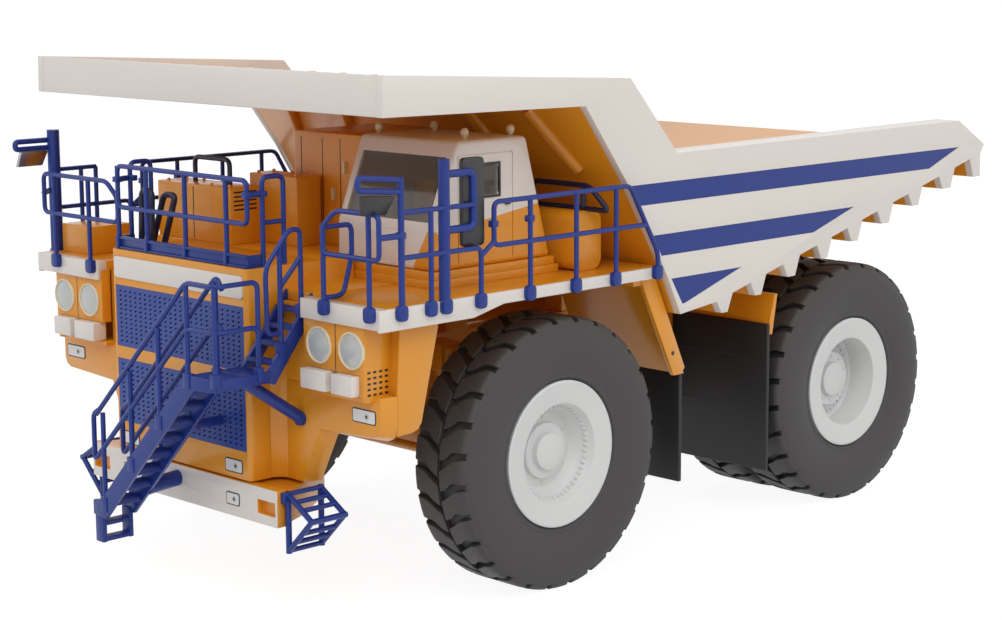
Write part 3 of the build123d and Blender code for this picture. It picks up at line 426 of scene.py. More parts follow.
def outline_box(a_span, b_span):
    """The four corners of a flat rectangle."""
    (a0, a1), (b0, b1) = a_span, b_span
    return [(a0, b0), (a1, b0), (a1, b1), (a0, b1)]


def round_corners(points, radius):
    """A flat closed outline of (a, b) with its corners rounded."""
    rounded = []
    for index, corner in enumerate(points):
        here = Vector(corner)
        ends = []
        for other in (points[index - 1], points[(index + 1) % len(points)]):
            way = Vector(other) - here
            ends.append(here + way.normalized() * min(radius, FLAT_CORNER_SHARE * way.length))
        rounded += [tuple(point) for point in turned_corner(ends[0], here, ends[1])]
    return rounded


def add_tube(shape, points, radius=BAR_R, turn=BAR_TURN):
    """A round bar through points, with rounded corners and closed ends."""
    points = [Vector(point) for point in points]
    line = [points[0]]
    for before, corner, after in zip(points, points[1:], points[2:]):
        back, ahead = before - corner, after - corner
        reach = min(turn, BAR_CORNER_SHARE * back.length, BAR_CORNER_SHARE * ahead.length)
        line += turned_corner(corner + back.normalized() * reach, corner, corner + ahead.normalized() * reach)
    line.append(points[-1])
    rings = []
    side = None
    for index, point in enumerate(line):
        way = Vector((0, 0, 0))
        if index > 0:
            way += (point - line[index - 1]).normalized()
        if index < len(line) - 1:
            way += (line[index + 1] - point).normalized()
        way.normalize()
        side = way.orthogonal() if side is None else side - way * side.dot(way)
        side.normalize()
        other = way.cross(side)
        ring = []
        for step in range(BAR_SIDES):
            angle = 2 * math.pi * step / BAR_SIDES
            ring.append(point + (side * math.cos(angle) + other * math.sin(angle)) * radius)
        rings.append(ring)
    add_solid(shape, rings)


def add_side_bar(shape, x, points, radius=BAR_R, turn=BAR_TURN):
    """A round bar in the upright plane at x, through points of (y from the axle, z)."""
    add_tube(shape, [(x, at(y), z) for y, z in points], radius, turn)


def add_lathe(shape, outline, centre, axis="X", steps=48, material=0):
    """Turn an outline of (along, radius) round an axis through centre; radius 0 closes an end."""
    rings = []
    for along, radius in outline:
        ring = []
        for step in range(steps if radius > 0 else 1):
            angle = 2 * math.pi * step / steps
            a, b = radius * math.cos(angle), radius * math.sin(angle)
            offset = {"X": (along, a, b), "Y": (a, along, b), "Z": (a, b, along)}[axis]
            ring.append(shape.verts.new([(c + o) * MM for c, o in zip(centre, offset)]))
        rings.append(ring)
    for ring, following in zip(rings, rings[1:]):
        for step in range(steps):
            after = (step + 1) % steps
            if len(ring) == 1:
                corners = (ring[0], following[step], following[after])
            elif len(following) == 1:
                corners = (ring[step], following[0], ring[after])
            else:
                corners = (ring[step], following[step], following[after], ring[after])
            shape.faces.new(corners).material_index = material


# Repeats by geometry nodes
WELD_DISTANCE = 0.004 * MM


def repeat_group(name, points_of):
    """A group that puts copies of a mesh on points, welds them, moves them and paints them."""
    group = bpy.data.node_groups.new(name, "GeometryNodeTree")
    input_socket(group, "Geometry", "NodeSocketGeometry")
    input_socket(group, "Columns", "NodeSocketInt", 4)
    input_socket(group, "Rows", "NodeSocketInt", 1)
    input_socket(group, "Width", "NodeSocketFloat", 1.0)
    input_socket(group, "Height", "NodeSocketFloat", 1.0)
    input_socket(group, "Centre", "NodeSocketVector")
    input_socket(group, "Material", "NodeSocketMaterial")
    output_socket(group, "Geometry", "NodeSocketGeometry")
    nodes, links = group.nodes, group.links
    entry, leave = nodes.new("NodeGroupInput"), nodes.new("NodeGroupOutput")
    copies = nodes.new("GeometryNodeInstanceOnPoints")
    points_of(nodes, links, entry, copies)
    links.new(entry.outputs["Geometry"], copies.inputs["Instance"])
    realize = nodes.new("GeometryNodeRealizeInstances")
    links.new(copies.outputs["Instances"], realize.inputs["Geometry"])
    weld = nodes.new("GeometryNodeMergeByDistance")
    weld.inputs["Distance"].default_value = WELD_DISTANCE
    links.new(realize.outputs["Geometry"], weld.inputs["Geometry"])
    move = nodes.new("GeometryNodeTransform")
    links.new(weld.outputs["Geometry"], move.inputs["Geometry"])
    links.new(entry.outputs["Centre"], move.inputs["Translation"])
    paint = nodes.new("GeometryNodeSetMaterial")
    links.new(move.outputs["Geometry"], paint.inputs["Geometry"])
    links.new(entry.outputs["Material"], paint.inputs["Material"])
    links.new(paint.outputs["Geometry"], leave.inputs["Geometry"])
    return group


def ring_points(nodes, links, entry, copies):
    """Points at the origin, with a turn round the X axis that grows from one to the next."""
    line = nodes.new("GeometryNodeMeshLine")
    line.inputs["Offset"].default_value = (0, 0, 0)
    links.new(entry.outputs["Columns"], line.inputs["Count"])
    index = nodes.new("GeometryNodeInputIndex")
    share = math_node(nodes, links, "DIVIDE", index.outputs[0], entry.outputs["Columns"])
    turn = math_node(nodes, links, "MULTIPLY", share, 2 * math.pi)
    rotation = nodes.new("ShaderNodeCombineXYZ")
    links.new(turn, rotation.inputs["X"])
    links.new(line.outputs["Mesh"], copies.inputs["Points"])
    links.new(rotation.outputs[0], copies.inputs["Rotation"])


def upright_points(turn):
    """Points over an upright grid whose width runs along X, or along Y where turn is a quarter turn."""
    def points(nodes, links, entry, copies):
        grid = nodes.new("GeometryNodeMeshGrid")
        for source, target in (
            ("Columns", "Vertices X"), ("Rows", "Vertices Y"), ("Width", "Size X"), ("Height", "Size Y"),
        ):
            links.new(entry.outputs[source], grid.inputs[target])
        stand = nodes.new("GeometryNodeTransform")
        stand.inputs["Rotation"].default_value = (math.pi / 2, 0, turn)
        links.new(grid.outputs["Mesh"], stand.inputs["Geometry"])
        links.new(stand.outputs["Geometry"], copies.inputs["Points"])
    return points


AROUND_AXLE = repeat_group("around_axle", ring_points)
OVER_FRONT = repeat_group("over_front", upright_points(0.0))
OVER_SIDE = repeat_group("over_side", upright_points(math.pi / 2))


def add_repeats(shape, cell, group, values):
    """Add the copies that a geometry nodes group makes of a small bmesh, with its named inputs set."""
    source = object_from(cell, "cell")
    modifier = source.modifiers.new("repeats", "NODES")
    modifier.node_group = group
    for item in group.interface.items_tree:
        if item.in_out == "INPUT" and item.name in values:
            modifier[item.identifier] = values[item.name]
    bpy.context.view_layer.update()
    depsgraph = bpy.context.evaluated_depsgraph_get()
    made = bpy.data.meshes.new_from_object(source.evaluated_get(depsgraph))
    source.modifiers.clear()
    bpy.data.objects.remove(source)
    made.polygons.foreach_set("material_index", [0] * len(made.polygons))
    shape.from_mesh(made)
    bpy.data.meshes.remove(made)


def grid_values(columns, rows, column_step, row_step, centre, material):
    """The inputs for copies over an upright grid, from its steps and centre in mm."""
    return {
        "Columns": columns, "Rows": rows,
        "Width": column_step * (columns - 1) * MM, "Height": row_step * (rows - 1) * MM,
        "Centre": [value * MM for value in centre], "Material": material,
    }


# Cast pieces: the CAD solids with rounded edges
CAST_NODES = [
    "hood", "bumper", "deck_left", "deck_right", "middle_floor", "edge_band_left", "edge_band_right",
    "cabinet", "front_box", "side_box", "corner_box", "tank", "tub", "body_side_left", "body_side_right",
    "canopy_edge", "frame_rails", "front_axle", "rear_axle", "rear_guards", "flaps", "lamp_blocks",
    "seats", "knuckle_left", "knuckle_right", "tie_rod",
]
for name in CAST_NODES:
    keep(dressed(name), name, [NODE_FINISH.get(name, SLOT_FINISH[node_slot[name]])])

# Shared sizes of the decks, the hood and the rails
DECK_TOP = 78.0
DECK_OUT = 68.0
HOOD_HALF = 27.4
HOOD_FRONT = at(-67.4)
HOOD_TOP = 83.5
BUMPER_FRONT = at(-68.1)
EDGE_FRONT = at(-61.5)
FENDER_X = 62.0
FLANGE_X = 65.0
RAIL_X = 69.7
OUTSIDE = 70.4
RAIL_HIGH = 99.5
RAIL_MID = 89.3
LEFT_MAST_R = 1.35
RIGHT_MAST_R = 1.7

# Fenders: the pressed mask beside the hood, the shelf and side panel of the lamp box, and the flanges
MASK_Y = (at(-58.4), at(-54.0))
MASK_IN = 27.5
MASK_LOW = 32.6
MASK_MID = 56.8
MASK_TOP = 75.6
LAMP_BOX_IN = 41.2
PANEL_T = 1.4
# Mask outline columns: x, z, first at its front face and then where it ends behind
MASK_FACE = [
    (MASK_IN, MASK_LOW), (36.0, MASK_LOW), (42.0, 46.3), (61.6, 47.3), (63.2, 48.0), (64.0, 49.8),
    (64.0, MASK_MID), (MASK_IN, MASK_MID),
]
MASK_BACK = [
    (MASK_IN, 32.4), (37.6, 32.4), (44.2, 45.0), (61.8, 45.8), (64.0, 46.8), (65.0, 49.2),
    (65.0, MASK_MID), (MASK_IN, MASK_MID),
]
# Side flange columns: y from the axle, z
FLANGE = [
    (-54.0, MASK_MID), (-52.9, MASK_TOP), (-41.0, MASK_TOP), (-41.2, 71.2), (-46.0, 52.0), (-46.6, 49.6),
    (-47.8, 48.1), (-49.6, 47.6), (-54.0, 47.4),
]
FLANGE_WEB = [(-52.9, MASK_TOP), (-54.0, 49.0), (-52.9, 49.0), (-51.7, MASK_TOP)]
REAR_FLANGE = [(28.5, 74.5), (34.1, 74.5), (45.9, 49.6), (44.3, 48.0), (41.5, 48.0)]
# Blend columns beside the hood: x and y from the mask's inner front corner
BLEND = [(0, 0.4), (0, -3.0), (0.4, -1.5), (1.5, -0.4), (3.0, 0), (3.0, 0.4)]
for name, sign in sides():
    shape = bmesh.new()
    add_solid(shape, [
        [(sign * x, y, z) for x, z in outline] for y, outline in zip(MASK_Y, (MASK_FACE, MASK_BACK))
    ])
    add_box(shape, span(sign, MASK_IN, LAMP_BOX_IN), MASK_Y, (MASK_MID, MASK_TOP))
    add_solid(shape, [
        [(sign * (MASK_IN + x), MASK_Y[0] + y, z) for x, y in BLEND] for z in (MASK_LOW, 62.0)
    ])
    add_box(shape, span(sign, LAMP_BOX_IN, FENDER_X), (EDGE_FRONT + 1.0, MASK_Y[1]), (55.6, 57.0))
    panel_x = span(sign, FENDER_X - PANEL_T, FENDER_X + 0.08)
    add_box(shape, panel_x, (EDGE_FRONT + 0.25, at(-52.0)), (55.8, MASK_TOP))
    add_across(shape, FLANGE, span(sign, FLANGE_X - 1.0, FLANGE_X))
    add_across(shape, FLANGE_WEB, span(sign, FENDER_X - 0.6, FLANGE_X - 0.4))
    ledge_x = span(sign, FENDER_X - 1.0, FLANGE_X - 0.4)
    add_box(shape, ledge_x, (at(-52.6), at(-41.4)), (MASK_TOP - PANEL_T, MASK_TOP - 0.2))
    add_across(shape, REAR_FLANGE, span(sign, FLANGE_X - 1.0, FLANGE_X + 0.4))
    fender = bevelled(object_from(shape, f"fender_{name}"), PRESSED_EDGE)
    trim(fender, f"deck_{name}", [orange_paint])

# Side slots of the lamp boxes, as dark cells let into the panel
SIDE_SLOT = ((-0.06, 0.06), (-0.48, 0.48), (-0.27, 0.27))
SIDE_SLOT_OUT = 0.06
# Start, step and count of the slots, first along the truck and then upwards
SLOTS_Y = (-60.0, 1.75, 4)
SLOTS_Z = (57.5, 1.3, 5)
for name, sign in sides():
    cell, shape = bmesh.new(), bmesh.new()
    add_box(cell, *SIDE_SLOT)
    middle_y, middle_z = (start + step * (count - 1) / 2 for start, step, count in (SLOTS_Y, SLOTS_Z))
    centre = (sign * (FENDER_X + SIDE_SLOT_OUT), at(middle_y), middle_z)
    add_repeats(shape, cell, OVER_SIDE, grid_values(
        SLOTS_Y[2], SLOTS_Z[2], SLOTS_Y[1], SLOTS_Z[1], centre, black_plastic,
    ))
    trim(object_from(shape, f"lamp_box_slots_{name}"), f"deck_{name}", [black_plastic])

# Hood plate with round corners
shape = bmesh.new()
low, high = (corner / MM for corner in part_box("hood_plate"))
add_along(shape, round_corners(outline_box((low.x, high.x), (low.z, high.z)), 1.0), (low.y, high.y))
keep(bevelled(object_from(shape, "hood_plate_rounded"), FINE_EDGE), "hood_plate", [white_paint])

# Grilles: plates of welded cells, each with a leaning slot, over a back in painted shade: a darker blue
# behind the slots stands for the shade inside them
SLOT_COLUMNS = 24
SLOT_ROWS = 12
SLOT_DEPTH = 0.45
GRILLE_BORDER = 0.9
# Slot outline columns: x and z as shares of a cell
SLOT_SHARES = [(-0.30, -0.20), (-0.02, 0.22), (0.30, 0.20), (0.02, -0.22)]
CELL_SHARES = [(-0.5, -0.5), (-0.5, 0.5), (0.5, 0.5), (0.5, -0.5)]


def slot_cell(width, height, front):
    """A cell of the grille: its face round a leaning slot, and the slot's walls."""
    shape = bmesh.new()
    rings = []
    for shares, y in ((CELL_SHARES, front), (SLOT_SHARES, front), (SLOT_SHARES, front + SLOT_DEPTH)):
        rings.append([shape.verts.new((x * width * MM, y * MM, z * height * MM)) for x, z in shares])
    for ring, following in zip(rings, rings[1:]):
        for corner in range(4):
            after = (corner + 1) % 4
            shape.faces.new((ring[corner], ring[after], following[after], following[corner]))
    return shape


for level in ("upper", "lower"):
    node = f"grille_{level}"
    low, high = (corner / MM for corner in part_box(node))
    width = (high.x - low.x - 2 * GRILLE_BORDER) / SLOT_COLUMNS
    height = (high.z - low.z - 2 * GRILLE_BORDER) / SLOT_ROWS
    shape = bmesh.new()
    centre = ((low.x + high.x) / 2, 0, (low.z + high.z) / 2)
    add_repeats(shape, slot_cell(width, height, low.y), OVER_FRONT, grid_values(
        SLOT_COLUMNS, SLOT_ROWS, width, height, centre, grille_plastic,
    ))
    edge = GRILLE_BORDER
    for x_span, z_span in (
        ((low.x, high.x), (low.z, low.z + edge)), ((low.x, high.x), (high.z - edge, high.z)),
        ((low.x, low.x + edge), (low.z + edge, high.z - edge)),
        ((high.x - edge, high.x), (low.z + edge, high.z - edge)),
    ):
        add_box(shape, x_span, (low.y, low.y + SLOT_DEPTH), z_span)
    # The back, in painted shade, shows at the bottom of each slot
    add_box(shape, (low.x, high.x), (low.y + SLOT_DEPTH, high.y), (low.z, high.z), 1)
    keep(object_from(shape, f"{node}_slotted"), node, [grille_plastic, blue_painted_shade])

# Lamps: a cream ring round a grained lens, and small white lamps in black frames with a grey point
LAMP_X = (46.6, 58.0)
LAMP_Z = 67.5
# Ring and lens outline columns: distance behind the box's front, radius
RING_OUTLINE = [(0.2, 4.4), (-0.3, 4.4), (-0.5, 4.25), (-0.5, 4.0), (-0.2, 3.85), (0.2, 3.85)]
LENS_OUTLINE = [(0.2, 3.9), (-0.15, 3.9), (-0.4, 3.0), (-0.55, 1.8), (-0.6, 0.0)]
shape = bmesh.new()
for name, sign in sides():
    for x in LAMP_X:
        centre = (sign * x, EDGE_FRONT, LAMP_Z)
        add_lathe(shape, RING_OUTLINE, centre, "Y", 40, 0)
        add_lathe(shape, LENS_OUTLINE, centre, "Y", 40, 1)
keep(object_from(shape, "lamps_ringed"), "lamps", [cream_plastic, lens_plastic])

# Small lamp columns: inner x, outer x, z low, z high, y of the surface that it sits on
SMALL_LAMPS = [
    (54.3, 62.5, 50.2, 53.6, MASK_Y[0]),
    (17.6, 24.4, 33.9, 37.3, HOOD_FRONT),
    (18.6, 23.8, 26.0, 29.2, BUMPER_FRONT),
]
LAMP_FRAME = 0.28
FRAME_OUT = 0.1
LENS_OUT = 0.06
POINT_R = 0.72
POINT_SHARE = 0.62
shape = bmesh.new()
for name, sign in sides():
    for inner, outer, z_low, z_high, y in SMALL_LAMPS:
        x_low, x_high = span(sign, inner, outer)
        frame_outline = outline_box((x_low, x_high), (z_low, z_high))
        lens_outline = outline_box(
            (x_low + LAMP_FRAME, x_high - LAMP_FRAME), (z_low + LAMP_FRAME, z_high - LAMP_FRAME),
        )
        lens_y = y - FRAME_OUT - LENS_OUT
        add_along(shape, round_corners(frame_outline, 0.7), (y - FRAME_OUT, y + 0.3), 0)
        add_along(shape, round_corners(lens_outline, 0.5), (lens_y, y + 0.2), 1)
        centre = (x_low + POINT_SHARE * (x_high - x_low), lens_y, (z_low + z_high) / 2)
        add_lathe(shape, [(0.1, POINT_R), (-0.08, POINT_R), (-0.1, 0)], centre, "Y", 16, 2)
        add_lathe(shape, [(0.0, POINT_R / 2), (-0.14, POINT_R / 2), (-0.15, 0)], centre, "Y", 12, 0)
trim(object_from(shape, "small_lamps"), "hood", [black_plastic, lamp_white, lens_plastic])

# Lamp box seams between the two lamps
SEAM_X = sum(LAMP_X) / 2
SEAM_HALF = 0.12
shape = bmesh.new()
for name, sign in sides():
    seam_x = span(sign, SEAM_X - SEAM_HALF, SEAM_X + SEAM_HALF)
    add_box(shape, seam_x, (EDGE_FRONT - 0.03, EDGE_FRONT + 0.5), (62.3, 73.2))
trim(object_from(shape, "lamp_box_seams"), "deck_left", [black_plastic])

# Cab: a shell with its screen and window cut, on two base steps
CAB_IN = 20.0
CAB_OUT = 55.0
CAB_LOW = 82.0
CAB_TOP = 112.4
CAB_WALL = 1.4
NOSE = (-33.0, 92.0)
BROW = (-25.0, CAB_TOP)
CAB_OUTLINE = [(-33.2, CAB_LOW), NOSE, BROW, (-1.9, CAB_TOP), (6.4, CAB_LOW)]
CAB_INSIDE = [
    (-31.8, CAB_LOW - 1), (-31.6, 91.9), (-24.1, CAB_TOP - CAB_WALL), (-2.9, CAB_TOP - CAB_WALL),
    (5.2, CAB_LOW - 1),
]
SCREEN_X = (22.6, 52.4)
SCREEN_Z = (93.5, 108.6)
WINDOW_Y = (-23.6, -11.6)
WINDOW_Z = (98.9, 106.3)
DOOR_Y = (-25.2, -7.0)
DOOR_Z = (83.4, 108.8)
GROOVE = 0.3


def screen_y(z):
    """Where the windscreen's outer face stands at a height, from the axle."""
    share = (z - NOSE[1]) / (BROW[1] - NOSE[1])
    return NOSE[0] + share * (BROW[0] - NOSE[0])


def add_on_screen(shape, x_span, z_span, out, depth):
    """A plate on the slanted front of the cab, from out before its face to depth behind it."""
    low, high = z_span
    outline = [
        (screen_y(low) - out, low), (screen_y(high) - out, high), (screen_y(high) + depth, high),
        (screen_y(low) + depth, low),
    ]
    add_across(shape, outline, x_span)


shape = bmesh.new()
add_across(shape, CAB_OUTLINE, (CAB_IN, CAB_OUT))
cab = bevelled(object_from(shape, "cab_shell"), 1.1 * MM, 4)
inside, screen_hole, window_hole = bmesh.new(), bmesh.new(), bmesh.new()
add_across(inside, CAB_INSIDE, (CAB_IN + CAB_WALL, CAB_OUT - CAB_WALL))
add_on_screen(screen_hole, SCREEN_X, SCREEN_Z, 3, 4)
window = round_corners(outline_box(WINDOW_Y, WINDOW_Z), 0.6)
add_across(window_hole, window, (CAB_OUT - CAB_WALL - 1, CAB_OUT + 1))
cut(cab, inside, screen_hole, window_hole)
# Groove columns: y from the axle of both edges, z of both edges
DOOR_GROOVES = [((y, y + GROOVE), DOOR_Z) for y in DOOR_Y] + [(DOOR_Y, (DOOR_Z[1], DOOR_Z[1] + GROOVE))]
for y_span, z_span in DOOR_GROOVES:
    groove = bmesh.new()
    add_box(groove, (CAB_OUT - GROOVE, CAB_OUT + 1), [at(y) for y in y_span], z_span)
    cut(cab, groove)
keep(bevelled(cab, 0.1 * MM, 1), "cab", [cab_paint])

# Cab base, raised front panel, window frame, door handle and roof knobs
# Roof knob columns: x, y from the axle
KNOBS = [(21.8, -20.5), (29.0, -8.5), (50.5, -18.5), (51.0, -3.5)]
KNOB_OUTLINE = [(-0.3, 0.55), (0.3, 0.5), (0.9, 0.95), (1.7, 1.0), (2.4, 0.7), (2.7, 0)]
FRONT_PANEL = [(22.0, 82.6), (43.6, 82.6), (46.0, 91.2), (22.0, 91.2)]
# Base step columns: how far it stands out, y from the axle of both ends, z of both ends
BASE_STEPS = [(0.8, -33.9, 8.3, DECK_TOP, 80.0), (0.4, -33.6, 7.3, 80.0, CAB_LOW)]
WINDOW_RIM = 0.55
DOOR_HANDLE = ((-9.6, -8.0), (96.2, 96.9))
shape = bmesh.new()
for out, y_low, y_high, z_low, z_high in BASE_STEPS:
    add_box(shape, (CAB_IN, CAB_OUT + out), (at(y_low), at(y_high)), (z_low, z_high), 0)
add_along(shape, round_corners(FRONT_PANEL, 0.8), (at(-33.7), at(-32.8)), 1)
rim_y = (WINDOW_Y[0] - WINDOW_RIM, WINDOW_Y[1] + WINDOW_RIM)
for y_span, z_span in (
    (rim_y, (WINDOW_Z[0] - WINDOW_RIM, WINDOW_Z[0])), (rim_y, (WINDOW_Z[1], WINDOW_Z[1] + WINDOW_RIM)),
    ((rim_y[0], WINDOW_Y[0]), WINDOW_Z), ((WINDOW_Y[1], rim_y[1]), WINDOW_Z),
):
    add_box(shape, (CAB_OUT - 0.4, CAB_OUT + 0.3), (at(y_span[0]), at(y_span[1])), z_span, 2)
add_box(shape, (CAB_OUT - 0.2, CAB_OUT + 0.6), [at(y) for y in DOOR_HANDLE[0]], DOOR_HANDLE[1], 3)
cab_fittings = bevelled(object_from(shape, "cab_fittings"), FINE_EDGE)
trim(cab_fittings, "cab", [orange_paint, white_paint, mirror_plastic, black_plastic])
shape = bmesh.new()
for x, y in KNOBS:
    add_lathe(shape, KNOB_OUTLINE, (x, at(y), CAB_TOP), "Z", 16)
trim(object_from(shape, "roof_knobs", TUBE_SHARP), "cab", [cream_plastic])

# Cabinet and box details: door gaps, handles, louvres and bolts
CABINET_FRONT = at(-24.5)
DOOR_GAP_X = (-3.8, 4.6, 11.5)
DOOR_GAP_Z = (84.5, 110.4)
# Handle columns: x, z
CABINET_HANDLES = [(-2.6, 96.5), (9.2, 96.5), (13.6, 103.5)]
# Low edge of the first louvre, step and count
LOUVRES = (92.2, 1.1, 5)
# Box top bolt columns: x, y from the axle, z
TOP_BOLTS = [(x, y, 98.0) for x in (-37.5, -30.0, -19.0, -11.5) for y in (-41.8, -36.0)]
TOP_BOLTS += [(x, y, 101.0) for x in (-12.0, -4.5, 3.0) for y in (-32.0, -27.0)]
# Bolt outline columns: height over the box, radius
BOLT_OUTLINE = [(-0.2, 0.45), (0.35, 0.45), (0.6, 0.3), (0.65, 0)]
shape = bmesh.new()
for x in DOOR_GAP_X:
    add_box(shape, (x - 0.14, x + 0.14), (CABINET_FRONT - 0.03, CABINET_FRONT + 0.4), DOOR_GAP_Z, 1)
for x, z in CABINET_HANDLES:
    add_box(shape, (x - 0.35, x + 0.35), (CABINET_FRONT - 0.9, CABINET_FRONT + 0.4), (z - 1.5, z + 1.5), 2)
for step in range(LOUVRES[2]):
    z = LOUVRES[0] + LOUVRES[1] * step
    add_box(shape, (-9.2, -8.95), (at(-42.5), at(-35.3)), (z, z + 0.4), 1)
add_box(shape, (-24.7, -24.4), (at(-43.66), at(-43.3)), (84.2, 97.4), 1)
for x, y, z in TOP_BOLTS:
    add_lathe(shape, BOLT_OUTLINE, (x, at(y), z), "Z", 10, 0)
cabinet_fittings = object_from(shape, "cabinet_fittings")
trim(cabinet_fittings, "cabinet", [orange_paint, black_plastic, cream_plastic])

# Railings: closed loops of bent bar with their feet, masts and brackets
RAIL_HALF = (RAIL_MID + RAIL_HIGH) / 2
POST_LOW = 76.0
THICK_R = 0.75
FOOT_Z = (75.0, 78.7)
FOOT_W = 1.5
FOOT_SHAPE = round_corners(outline_box((-FOOT_W, FOOT_W), FOOT_Z), 1.2)
# Places along the side rails, from the axle
FRONT_RAIL = -63.1
CORNER_POST = -56.5
MAST_POST = -42.8
MIRROR_END = -33.6
LOW_BAR_END = -31.8
LOOP_FRONT = -27.6
REAR_FOOT = 30.0
FRONT_RAIL_Y = at(FRONT_RAIL)
# Front loop columns: outer end, inner end, and the two posts
FRONT_LOOPS = {"left": (RAIL_X, 50.4, (50.4, 66.2)), "right": (63.7, 30.2, (43.2, 59.0))}
SIDE_POSTS = (-47.5, MAST_POST, -15.6, 0.2, 14.4)
SIDE_FEET = (CORNER_POST, -47.5, MAST_POST, LOW_BAR_END, -15.6, 0.2, 14.4, REAR_FOOT)
# Side bars: the (y from the axle, z) that each passes
SIDE_BARS = [
    [(LOW_BAR_END, POST_LOW), (LOW_BAR_END, RAIL_MID), (CORNER_POST, RAIL_MID)],
    [
        (LOOP_FRONT, RAIL_HALF), (LOOP_FRONT, RAIL_HIGH), (19.4, RAIL_HIGH), (REAR_FOOT, 81.8),
        (REAR_FOOT, POST_LOW),
    ],
    [(LOOP_FRONT, RAIL_HALF), (LOOP_FRONT, RAIL_MID), (25.5, RAIL_MID)],
    [(LOW_BAR_END, RAIL_MID - 2.0), (LOOP_FRONT, RAIL_MID + 1.0)],
]
# Collar columns: y from the axle, z, on the side rails
COLLARS = [(CORNER_POST, 94.4), (LOOP_FRONT, 94.4), (-15.6, 94.6)]
# Bars of the left side alone: the return of the front loop, the mirror's loop and the front bracket
INNER_RETURN = [(FRONT_RAIL, 95.2), (-54.5, 95.2), (-54.5, 88.0), (-57.3, 79.0), (FRONT_RAIL, 79.0)]
MIRROR_LOOP = [(MAST_POST, 107.0), (MIRROR_END, 107.0), (MIRROR_END, 94.2), (MAST_POST, 94.2)]
LEFT_ARMS = [[(CORNER_POST, 106.8), (-69.0, 108.2)], [(CORNER_POST, 104.2), (-69.0, 105.4)]]
LEFT_BRACKET = [(-57.5, 104.3), (-69.2, 105.4), (-69.2, 108.2), (-57.5, 107.0)]
RIGHT_BRACKET = [(-57.0, 107.6), (-67.6, 107.6), (-67.6, 105.6), (-57.0, 105.6)]
CORNER_TOP = 107.5
LEFT_MAST_TOP = 110.5
RIGHT_MAST_TOP = 110.3
for name, sign in sides():
    x = sign * RAIL_X
    solids, tubes = bmesh.new(), bmesh.new()
    loop_out, loop_in, front_posts = FRONT_LOOPS[name]
    loop_out, loop_in = sign * loop_out, sign * loop_in
    add_tube(tubes, [(loop_x, FRONT_RAIL_Y, z) for loop_x, z in (
        (loop_out, RAIL_HALF), (loop_out, RAIL_HIGH), (loop_in + sign * 4.8, RAIL_HIGH),
        (loop_in, RAIL_HIGH - 3.9), (loop_in, RAIL_MID), (loop_out, RAIL_MID), (loop_out, RAIL_HALF),
    )])
    for post_x in front_posts:
        post_top = RAIL_HIGH if abs(sign * post_x - loop_in) > 1 else RAIL_HIGH - 3.5
        add_tube(tubes, [(sign * post_x, FRONT_RAIL_Y, POST_LOW), (sign * post_x, FRONT_RAIL_Y, post_top)])
        foot = [(sign * post_x + a, z) for a, z in FOOT_SHAPE]
        add_along(solids, foot, (FRONT_RAIL_Y - 0.9, EDGE_FRONT - 0.8))
    for y in SIDE_FEET:
        add_across(solids, [(y + a, z) for a, z in FOOT_SHAPE], span(sign, DECK_OUT + 0.8, OUTSIDE))
    for y in SIDE_POSTS:
        add_side_bar(tubes, x, [(y, POST_LOW), (y, RAIL_HIGH)])
    add_tube(tubes, [(loop_out, FRONT_RAIL_Y, RAIL_HALF), (x, at(CORNER_POST), RAIL_HALF)], THICK_R)
    for points in SIDE_BARS:
        add_side_bar(tubes, x, points)
    for y, z in COLLARS:
        add_box(solids, span(sign, RAIL_X - 1.1, OUTSIDE), (at(y - 1.0), at(y + 1.0)), (z - 0.8, z + 0.8))
    if name == "left":
        mast_x = OUTSIDE - LEFT_MAST_R
        add_side_bar(tubes, loop_in, INNER_RETURN)
        add_side_bar(tubes, x, [(CORNER_POST, POST_LOW), (CORNER_POST, CORNER_TOP)], THICK_R)
        add_side_bar(tubes, x, [(CORNER_POST, RAIL_HIGH), (MIRROR_END, RAIL_HIGH)])
        add_side_bar(tubes, mast_x, [(MAST_POST, POST_LOW), (MAST_POST, LEFT_MAST_TOP)], LEFT_MAST_R)
        add_side_bar(tubes, mast_x, MIRROR_LOOP, 0.95)
        for points in LEFT_ARMS:
            add_side_bar(tubes, x, points)
        add_side_bar(tubes, x, LEFT_BRACKET, 0.7)
    else:
        mast_x = RIGHT_MAST_R - OUTSIDE
        add_side_bar(tubes, mast_x, [(CORNER_POST, POST_LOW), (CORNER_POST, RIGHT_MAST_TOP)], RIGHT_MAST_R)
        add_side_bar(tubes, x, [(CORNER_POST, RAIL_HIGH), (MAST_POST, RAIL_HIGH)])
        add_side_bar(tubes, x, RIGHT_BRACKET, THICK_R, 0.9)
    railing = joined(f"railing_{name}_bent", solids, tubes, PRESSED_EDGE)
    keep(railing, f"railing_{name}", [blue_plastic])

# Mirrors: a tall plate behind the left bracket, and a small tilted plate under each front bracket
# Plate columns: y from the axle, z
TALL_PLATE = outline_box((-36.6, -29.7), (89.6, 110.2))
SMALL_LEFT = [(-68.6, 104.2), (-58.4, 103.4), (-59.8, 99.2), (-66.6, 99.6)]
SMALL_RIGHT = [(-66.9, 105.0), (-58.6, 105.0), (-59.8, 101.0), (-67.4, 101.0)]


def tilted_plate(points, x, faces, tilt, middle_z):
    """Two outlines of a plate that stands at x and leans with its height over its middle."""
    return [[(x + face + (z - middle_z) * tilt, at(y), z) for y, z in points] for face in faces]


